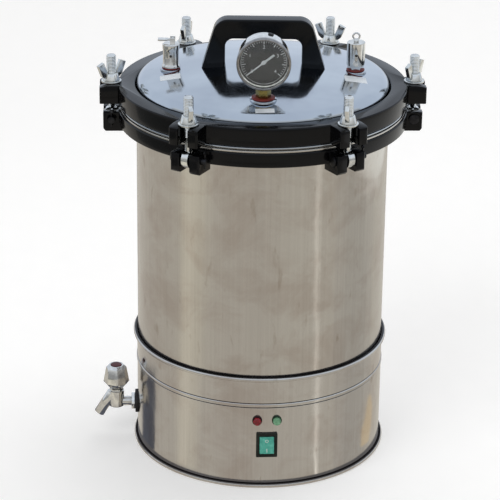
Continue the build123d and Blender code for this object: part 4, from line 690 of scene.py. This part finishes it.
# gauge: outlines of (radius, distance in front of the lid's axis[, cut])
gauge = {"turn": -3.7, "height": 525, "caseRadius": 30.0, "dialFront": 112.5,
         "case": [(0, 92.5), (30.0, 92.5, 3.0), (30.0, 120.5), (28.4, 120.5), (28.4, 111.7), (0, 111.7)],
         "bezel": [(30.05, 118.0, 0.3), (31.3, 118.0, 0.5), (31.3, 124.0, 2.2), (28.2, 124.0, 0.8),
                   (28.2, 122.1, 0.3), (30.05, 122.1), (30.05, 118.0)],
         "glass": [(0, 120.6), (29.95, 120.6, 0.3), (29.95, 122.0, 0.3), (0, 122.0)],
         "dial": [(0, 111.8), (27.6, 111.8), (27.6, 112.5, 0.3), (0, 112.5)]}
fittingsTurn = turnedOver(gauge["turn"], "Z")  # gauge and valves sit a little round from square
gaugeFrame = fittingsTurn @ at(0, 0, gauge["height"]) @ facing  # local +Z looks out of the dial
for part, steps, slotName, material in (
        ("case", 96, "valve_chrome", valveChrome), ("bezel", 96, "valve_chrome", bezelChrome),
        ("glass", 72, "gauge_lens", gaugeLens), ("dial", 72, "dial_face", dialFinish)):
    finished(turned(gauge[part], steps=steps, turn=gaugeFrame), "gauge" + part.title(), "lid", slotName,
             material, "gauge_" + part)

# seals under the fittings: a red ring over a turned steel cup. Each place has its cup's and its ring's
# radius, and the heights are from the top of the seals
seals = {"places": {(-110, 0): (12.8, 10.9), (110, 0): (12.8, 10.9), (0, -110): (15.8, 13.6)}, "hole": 6.0,
         "top": 482.87, "cup": (-4.8, -2.6, -1.9), "cupCuts": (0.5, 0.4), "step": 0.4, "ring": (-1.9, -0.1),
         "ringCuts": (0.5, 0.7)}
hole, (low, edge, high), (ringLow, ringHigh) = seals["hole"], seals["cup"], seals["ring"]
(edgeCut, highCut), (ringLowCut, ringHighCut) = seals["cupCuts"], seals["ringCuts"]
redRings, cupWashers = bmesh.new(), bmesh.new()
for (x, y), (cupRadius, ringRadius) in seals["places"].items():
    place = fittingsTurn @ at(x, y, seals["top"])
    added(cupWashers, turned([(hole, low), (cupRadius, low), (cupRadius, edge, edgeCut),
                              (ringRadius - seals["step"], high, highCut), (hole, high), (hole, low)],
                             steps=72, turn=place))
    added(redRings, turned([(hole, ringLow), (ringRadius, ringLow, ringLowCut),
                            (ringRadius, ringHigh, ringHighCut), (hole, ringHigh), (hole, ringLow)],
                           steps=72, turn=place))
finished(redRings, "fittingSeals", "lid", "red_silicone", redSilicone, "lid_seals")
finished(cupWashers, "sealCups", "lid", "lid_steel", lidSteel)

# marks round the dial: from lower left, clockwise, to lower right
dialMarks = {"from": 220.0, "sweep": 260.0, "large": 8, "small": 40, "radius": 24.6, "largeMark": (4.4, 0.9),
             "smallMark": (2.6, 0.45), "depth": 0.12, "lift": 0.1, "ring": ((25.0, 25.35), (0.04, 0.14))}
marks = bmesh.new()
for count in range(dialMarks["small"] + 1):
    angle = dialMarks["from"] - dialMarks["sweep"] * count / dialMarks["small"]
    isLarge = count % (dialMarks["small"] // dialMarks["large"]) == 0
    length, width = dialMarks["largeMark" if isLarge else "smallMark"]
    mark = block((length, width, dialMarks["depth"]),
                 (dialMarks["radius"] - length / 2, 0, gauge["dialFront"] + dialMarks["lift"]))
    bmesh.ops.transform(mark, matrix=gaugeFrame @ turnedOver(angle, "Z"), verts=mark.verts[:])
    added(marks, mark)
(near, far), heights = dialMarks["ring"]
low, high = (gauge["dialFront"] + h for h in heights)
added(marks, turned([(near, low), (far, low), (far, high), (near, high), (near, low)], steps=72,
                    turn=gaugeFrame))
finished(marks, "dialScale", "lid", "pointer_white", dialInk)


def textShape(words, size, depth, matrix):
    curve = bpy.data.curves.new("words", "FONT")
    curve.body = words
    curve.size = size * mm
    curve.extrude = depth * mm
    curve.align_x = "CENTER"
    curve.align_y = "CENTER"
    curveObject = bpy.data.objects.new("words", curve)
    bpy.context.collection.objects.link(curveObject)
    mesh = meshFrom(curveObject)
    bpy.data.objects.remove(curveObject)
    bm = bmesh.new()
    bm.from_mesh(mesh)
    bpy.data.meshes.remove(mesh)
    bmesh.ops.remove_doubles(bm, verts=bm.verts[:], dist=0.001 * mm)
    bmesh.ops.transform(bm, matrix=matrix, verts=bm.verts[:])
    return bm


dialNumbers = {"last": 4, "radius": 16.8, "size": 5.6, "depth": 0.06, "lift": 0.12}
numbers = bmesh.new()
for count in range(dialNumbers["last"] + 1):
    x, y = around(dialNumbers["radius"], dialMarks["from"] - dialMarks["sweep"] * count / dialNumbers["last"])
    place = gaugeFrame @ at(x, y, gauge["dialFront"] + dialNumbers["lift"])
    added(numbers, textShape(str(count), dialNumbers["size"], dialNumbers["depth"], place))
finished(numbers, "dialNumbers", "lid", "pointer_white", dialInk)

# the CAD needle, made slimmer across the way it points
needle = {"pointing": 214, "width": 0.68, "edge": 0.12}
across = gaugeFrame @ turnedOver(needle["pointing"], "Z")
slimmer = across @ Matrix.Diagonal((1, needle["width"], 1, 1)) @ across.inverted()
needleShape = softened(cadCopy("gauge_pointer"), needle["edge"])
bmesh.ops.transform(needleShape, matrix=slimmer, verts=needleShape.verts[:])
finished(needleShape, "gaugePointer", "pointer", "pointer_white", dialInk, "gauge_pointer")

# dark plug on top of the gauge case
plug = {"outline": [(0, -1.5), (3.4, -1.5), (3.4, 1.4, 0.6), (0, 1.4)], "turn": 75, "sunk": 0.2,
        "along": 100.0}
onCase = at(gauge["caseRadius"] - plug["sunk"], 0, plug["along"])
plugFrame = gaugeFrame @ turnedOver(plug["turn"], "Z") @ onCase @ sideways
finished(turned(plug["outline"], steps=36, turn=plugFrame), "gaugePlug", "lid", "black_rubber", blackRubber)
print("stage: gauge")

# lamps: outlines of (radius, distance in front of the axis[, cut])
lamps = {"dome": [(0, 152.0), (4.6, 152.0), (4.9, 153.1), (4.9, 158.5, 2.2), (0, 158.5)],
         "rim": [(0, 146), (4.4, 146), (4.4, 151.6), (5.95, 151.6), (5.95, 154.5, 0.6), (5.1, 154.5, 0.2),
                 (5.1, 152.4), (0, 152.4)]}
for side, name, slotName, material, rimMaterial, node in (
        (-1, "redLamp", "lens_red", lensRed, lampRed, "red_lamp"),
        (1, "greenLamp", "lens_green", lensGreen, lampGreen, "green_lamp")):
    lampFrame = at(side * lampSide, 0, lampHeight) @ facing
    finished(turned(lamps["dome"], steps=48, turn=lampFrame), name, "base", slotName, material, node)
    finished(turned(lamps["rim"], steps=48, turn=lampFrame), name + "Rim", "base", slotName, rimMaterial)

# marks on the rocker: a ring of (height, outer, inner) and a bar of (height, width, length)
rockerMarks = {"ring": (63.0, 2.0, 1.35), "bar": (51.5, 0.8, 4.0), "from": -170, "lift": 0.01,
               "thickness": 0.06}
height, outer, inner = rockerMarks["ring"]
ring = bmesh.new()
bmesh.ops.create_circle(ring, segments=36, radius=outer * mm, cap_ends=True,
                        matrix=at(0, rockerMarks["from"], height) @ facing)
bmesh.ops.inset_region(ring, faces=ring.faces[:], thickness=(outer - inner) * mm, use_boundary=True,
                       use_even_offset=True)
bmesh.ops.delete(ring, geom=[max(ring.faces, key=lambda f: len(f.verts))], context="FACES")
height, width, length = rockerMarks["bar"]
bar = bmesh.new()
barPlace = at(0, rockerMarks["from"], height) @ facing @ Matrix.Diagonal((width * mm, length * mm, 1, 1))
bmesh.ops.create_grid(bar, x_segments=1, y_segments=4, size=0.5, matrix=barPlace)
finished(laidOn(added(ring, bar), "switch_rocker", (0, 1, 0), rockerMarks["lift"], rockerMarks["thickness"]),
         "rockerMarks", "rocker", "pointer_white", markWhite)

# blank labels on the lid: centre and size of each
labels = {"front": ((-7, -137.5), (22, 9.5)), "left": ((-111.6, -23), (24, 18)),
          "right": ((107, -37.5), (26, 19))}
laying = {"from": 520, "lift": 0.02, "thickness": 0.12}
for name, ((x, y), (width, depth)) in labels.items():
    label = bmesh.new()
    bmesh.ops.create_grid(label, x_segments=8, y_segments=8, size=0.5,
                          matrix=at(x, y, laying["from"]) @ Matrix.Diagonal((width * mm, depth * mm, 1, 1)))
    finished(laidOn(label, "lid", (0, 0, -1), laying["lift"], laying["thickness"]), f"{name}Label", "lid",
             "white_silicone", labelWhite)
print("stage: lamps, marks and labels")

# floor, which pales into the plain backdrop far off
floorSetting = {"size": 9.0, "dark": (247, 247, 247), "light": (250, 250, 250), "pattern": 30, "lift": 0.185,
                "farLift": 0.37, "fade": (1.3, 6.5)}
floorShape = bmesh.new()
bmesh.ops.create_grid(floorShape, x_segments=4, y_segments=4, size=floorSetting["size"])
floor = placed(floorShape, "floor")
floorMaterial = newMaterial("floorPaper", floorSetting["light"], roughness=0.9, Specular_IOR_Level=0.1)
join(floorMaterial, "Base Color", tones(floorMaterial, noise(floorMaterial, floorSetting["pattern"]),
                                        [(0.3, floorSetting["dark"]), (0.7, floorSetting["light"])]))
floorNodes = floorMaterial.node_tree.nodes
floorNodes["Principled BSDF"].inputs["Emission Color"].default_value = (1, 1, 1, 1)
path, away = floorNodes.new("ShaderNodeLightPath"), floorNodes.new("ShaderNodeVectorMath")
seen = maths(floorMaterial, "MAXIMUM", path.outputs["Is Camera Ray"], path.outputs["Is Glossy Ray"])
seen = maths(floorMaterial, "MAXIMUM", seen, path.outputs["Is Transmission Ray"])
away.operation = "LENGTH"
floorMaterial.node_tree.links.new(objectPlace(floorMaterial, (1, 1, 1)), away.inputs[0])
paling = ranged(floorMaterial, away.outputs["Value"], 0.0, floorSetting["farLift"], *floorSetting["fade"])
farOff = maths(floorMaterial, "MULTIPLY", path.outputs["Is Camera Ray"], paling)
join(floorMaterial, "Emission Strength",
     maths(floorMaterial, "ADD", farOff, maths(floorMaterial, "MULTIPLY", seen, floorSetting["lift"])))
floor.data.materials.append(floorMaterial)


def mirrorOnly(bm, name, material):
    card = placed(bm, name)
    card.data.materials.append(material)
    card.visible_camera = card.visible_diffuse = card.visible_shadow = card.visible_transmission = False


# cards on the floor that only reflections see. Each card has stations (distance in mm out along the
# mirrored line of sight, from and to an angle round the body in degrees), or one radius for a round card,
# then its colour and how far its edges wander
cards = {"ground": (3300, (0.64, 0.61, 0.555), 0),
         "paleEdge": ([(20, -135.5, -122), (420, -136, -119), (700, -136, -118), (780, -137, -108),
                       (1000, -137, -104), (1090, -136, -108)], (0.69, 0.66, 0.59), 0.7),
         "paleMiddle": ([(20, -134.5, -124.5), (430, -135, -122.5), (690, -135, -121), (790, -136, -112),
                         (960, -136, -108), (1060, -135, -112)], (0.745, 0.71, 0.62), 0.7),
         "paleCore": ([(20, -133, -128.5), (430, -133.5, -127), (680, -134, -124.5), (800, -134, -119),
                       (920, -134, -117), (1030, -133.5, -122)], (0.82, 0.78, 0.68), 0.6),
         "sliverEdge": ([(6, -67.2, -64.9), (300, -67.0, -64.7), (420, -67.1, -65.2), (640, -66.8, -65.0),
                         (800, -66.9, -65.4), (880, -66.6, -65.6)], (0.84, 0.81, 0.75), 0.9),
         "sliver": ([(6, -66.3, -65.7), (250, -66.5, -65.8), (380, -66.2, -65.8), (520, -66.5, -65.6),
                     (700, -66.2, -65.8), (790, -66.3, -65.8), (860, -66.1, -65.9)], (1.4, 1.36, 1.28), 0.9),
         "shadeEdge": ([(10, -56, -28), (1100, -56, -28)], (0.585, 0.56, 0.52), 0.8),
         "shadeCore": ([(10, -50, -34), (1100, -50, -34)], (0.545, 0.525, 0.49), 0.8),
         "smear": ([(938, -106, -98), (955, -112, -84), (972, -108, -90)], (0.3, 0.28, 0.25), 0.6),
         "farDark": ([(1075, -152, -114), (3000, -152, -114)], (0.26, 0.27, 0.26), 0),
         "farBright": ([(1075, -60, -12), (3000, -60, -12)], (0.97, 0.97, 0.94), 0),
         "backLeft": ([(12, -166, -151.5), (245, -166, -151)], (0.12, 0.13, 0.16), 0),
         "tan": ([(28, -37, -29), (70, -36, -26), (120, -32, -25), (160, -30, -27)], (0.78, 0.66, 0.48), 0),
         # the foot card is painted shade: a dark ring that the skirt's foot mirrors in place of the floor's
         # shadow round the base
         "foot": (158, (0.16, 0.16, 0.17), 0)}
laid = {"round": 153, "sight": 93.7, "gap": 0.4, "rows": 60, "straightRows": 6, "kept": 0.75, "drift": 0.4,
        "jitter": 0.08}
wander = Random(7)
for order, (name, (stations, strength, wandering)) in enumerate(cards.items()):
    shape = bmesh.new()
    if not isinstance(stations, list):
        bmesh.ops.create_circle(shape, cap_ends=True, segments=96, radius=stations * mm)
    else:
        rows, shift, count = [], 0, laid["rows" if wandering else "straightRows"]
        for step in range(count + 1):
            reach = stations[0][0] + (stations[-1][0] - stations[0][0]) * step / count
            after = next(i for i in range(1, len(stations)) if reach <= stations[i][0] + 0.001)
            (low, *lowEdges), (high, *highEdges) = stations[after - 1], stations[after]
            share = (reach - low) / (high - low)
            shift, row = laid["kept"] * shift + wander.uniform(-wandering, wandering) * laid["drift"], []
            for lowEdge, highEdge in zip(lowEdges, highEdges):
                jitter = wander.uniform(-wandering, wandering) * laid["jitter"]
                angle = lowEdge + (highEdge - lowEdge) * share + shift + jitter
                corner = Vector((*around(laid["round"], angle), 0))
                outward = Vector((*around(reach, 2 * angle + laid["sight"]), 0))
                row.append(shape.verts.new((corner + outward) * mm))
            rows.append(row)
        for first, second in zip(rows, rows[1:]):
            shape.faces.new((first[0], first[1], second[1], second[0]))
    bmesh.ops.translate(shape, vec=(0, 0, (1 + order) * laid["gap"] * mm), verts=shape.verts[:])
    brightest = max(strength)
    mirrorOnly(shape, name + "Card", glowing(name + "Card", [c / brightest for c in strength], brightest))

# a dark horizon in front, which only reflections see
horizon = {"radius": 3.3, "top": 1.7, "tint": (0.94, 0.97, 1), "dark": 0.4, "pale": 0.97, "fade": (0.5, 1.6)}
horizonShape = bmesh.new()
bmesh.ops.create_cone(horizonShape, cap_ends=False, segments=96, radius1=horizon["radius"],
                      radius2=horizon["radius"], depth=horizon["top"],
                      matrix=Matrix.Translation((0, 0, horizon["top"] / 2)))
whole = horizonShape.verts[:] + horizonShape.edges[:] + horizonShape.faces[:]
bmesh.ops.bisect_plane(horizonShape, geom=whole, plane_co=(0, 0, 0), plane_no=(0, 1, 0), clear_outer=True)
horizonMaterial = glowing("horizonCard", horizon["tint"])
height = horizonMaterial.node_tree.nodes.new("ShaderNodeSeparateXYZ")
horizonMaterial.node_tree.links.new(objectPlace(horizonMaterial, (1, 1, 1)), height.inputs[0])
join(horizonMaterial, "Emission Strength",
     ranged(horizonMaterial, height.outputs["Z"], horizon["dark"], horizon["pale"], *horizon["fade"]))
mirrorOnly(horizonShape, "horizonCard", horizonMaterial)

# world: plain light for matt surfaces, one sky for reflections and white behind everything
worldLight = {"plain": ((1, 1, 1), 0.485), "mirrored": ((0.8, 0.88, 1.0), 1.0), "shown": ((1, 1, 1), 1.0)}
world = bpy.data.worlds.new("world")
bpy.context.scene.world = world
world.use_nodes = True
worldNodes, worldLinks = world.node_tree.nodes, world.node_tree.links
worldNodes.remove(worldNodes["Background"])
path = worldNodes.new("ShaderNodeLightPath")
shown = maths(world, "MAXIMUM", path.outputs["Is Camera Ray"], path.outputs["Is Transmission Ray"])
rays, sky = {"mirrored": path.outputs["Is Glossy Ray"], "shown": shown}, None
for name, (colour, strength) in worldLight.items():
    lit = worldNodes.new("ShaderNodeBackground")
    lit.inputs["Color"].default_value = (*colour, 1)
    lit.inputs["Strength"].default_value = strength
    if sky:
        mix = worldNodes.new("ShaderNodeMixShader")
        worldLinks.new(rays[name], mix.inputs["Fac"])
        worldLinks.new(sky, mix.inputs[1])
        worldLinks.new(lit.outputs[0], mix.inputs[2])
    sky = mix.outputs[0] if sky else lit.outputs[0]
worldLinks.new(sky, worldNodes["World Output"].inputs["Surface"])

# soft lights in metres: place, size and power, both turned to the same point
softLights = {"key": ((0.7, 0.8, 2.8), 2.2, 29), "fill": ((-1.6, -1.8, 2.2), 2.0, 25)}
litPoint = Vector((0, 0, 0.25))
for name, (place, size, power) in softLights.items():
    lightData = bpy.data.lights.new(name, "AREA")
    lightData.shape = "SQUARE"
    lightData.size = size
    lightData.energy = power
    light = bpy.data.objects.new(name, lightData)
    bpy.context.collection.objects.link(light)
    towards = (litPoint - Vector(place)).to_track_quat("-Z", "Y").to_matrix().to_4x4()
    light.matrix_world = Matrix.Translation(place) @ towards
    light.visible_glossy = False
print("stage: light")
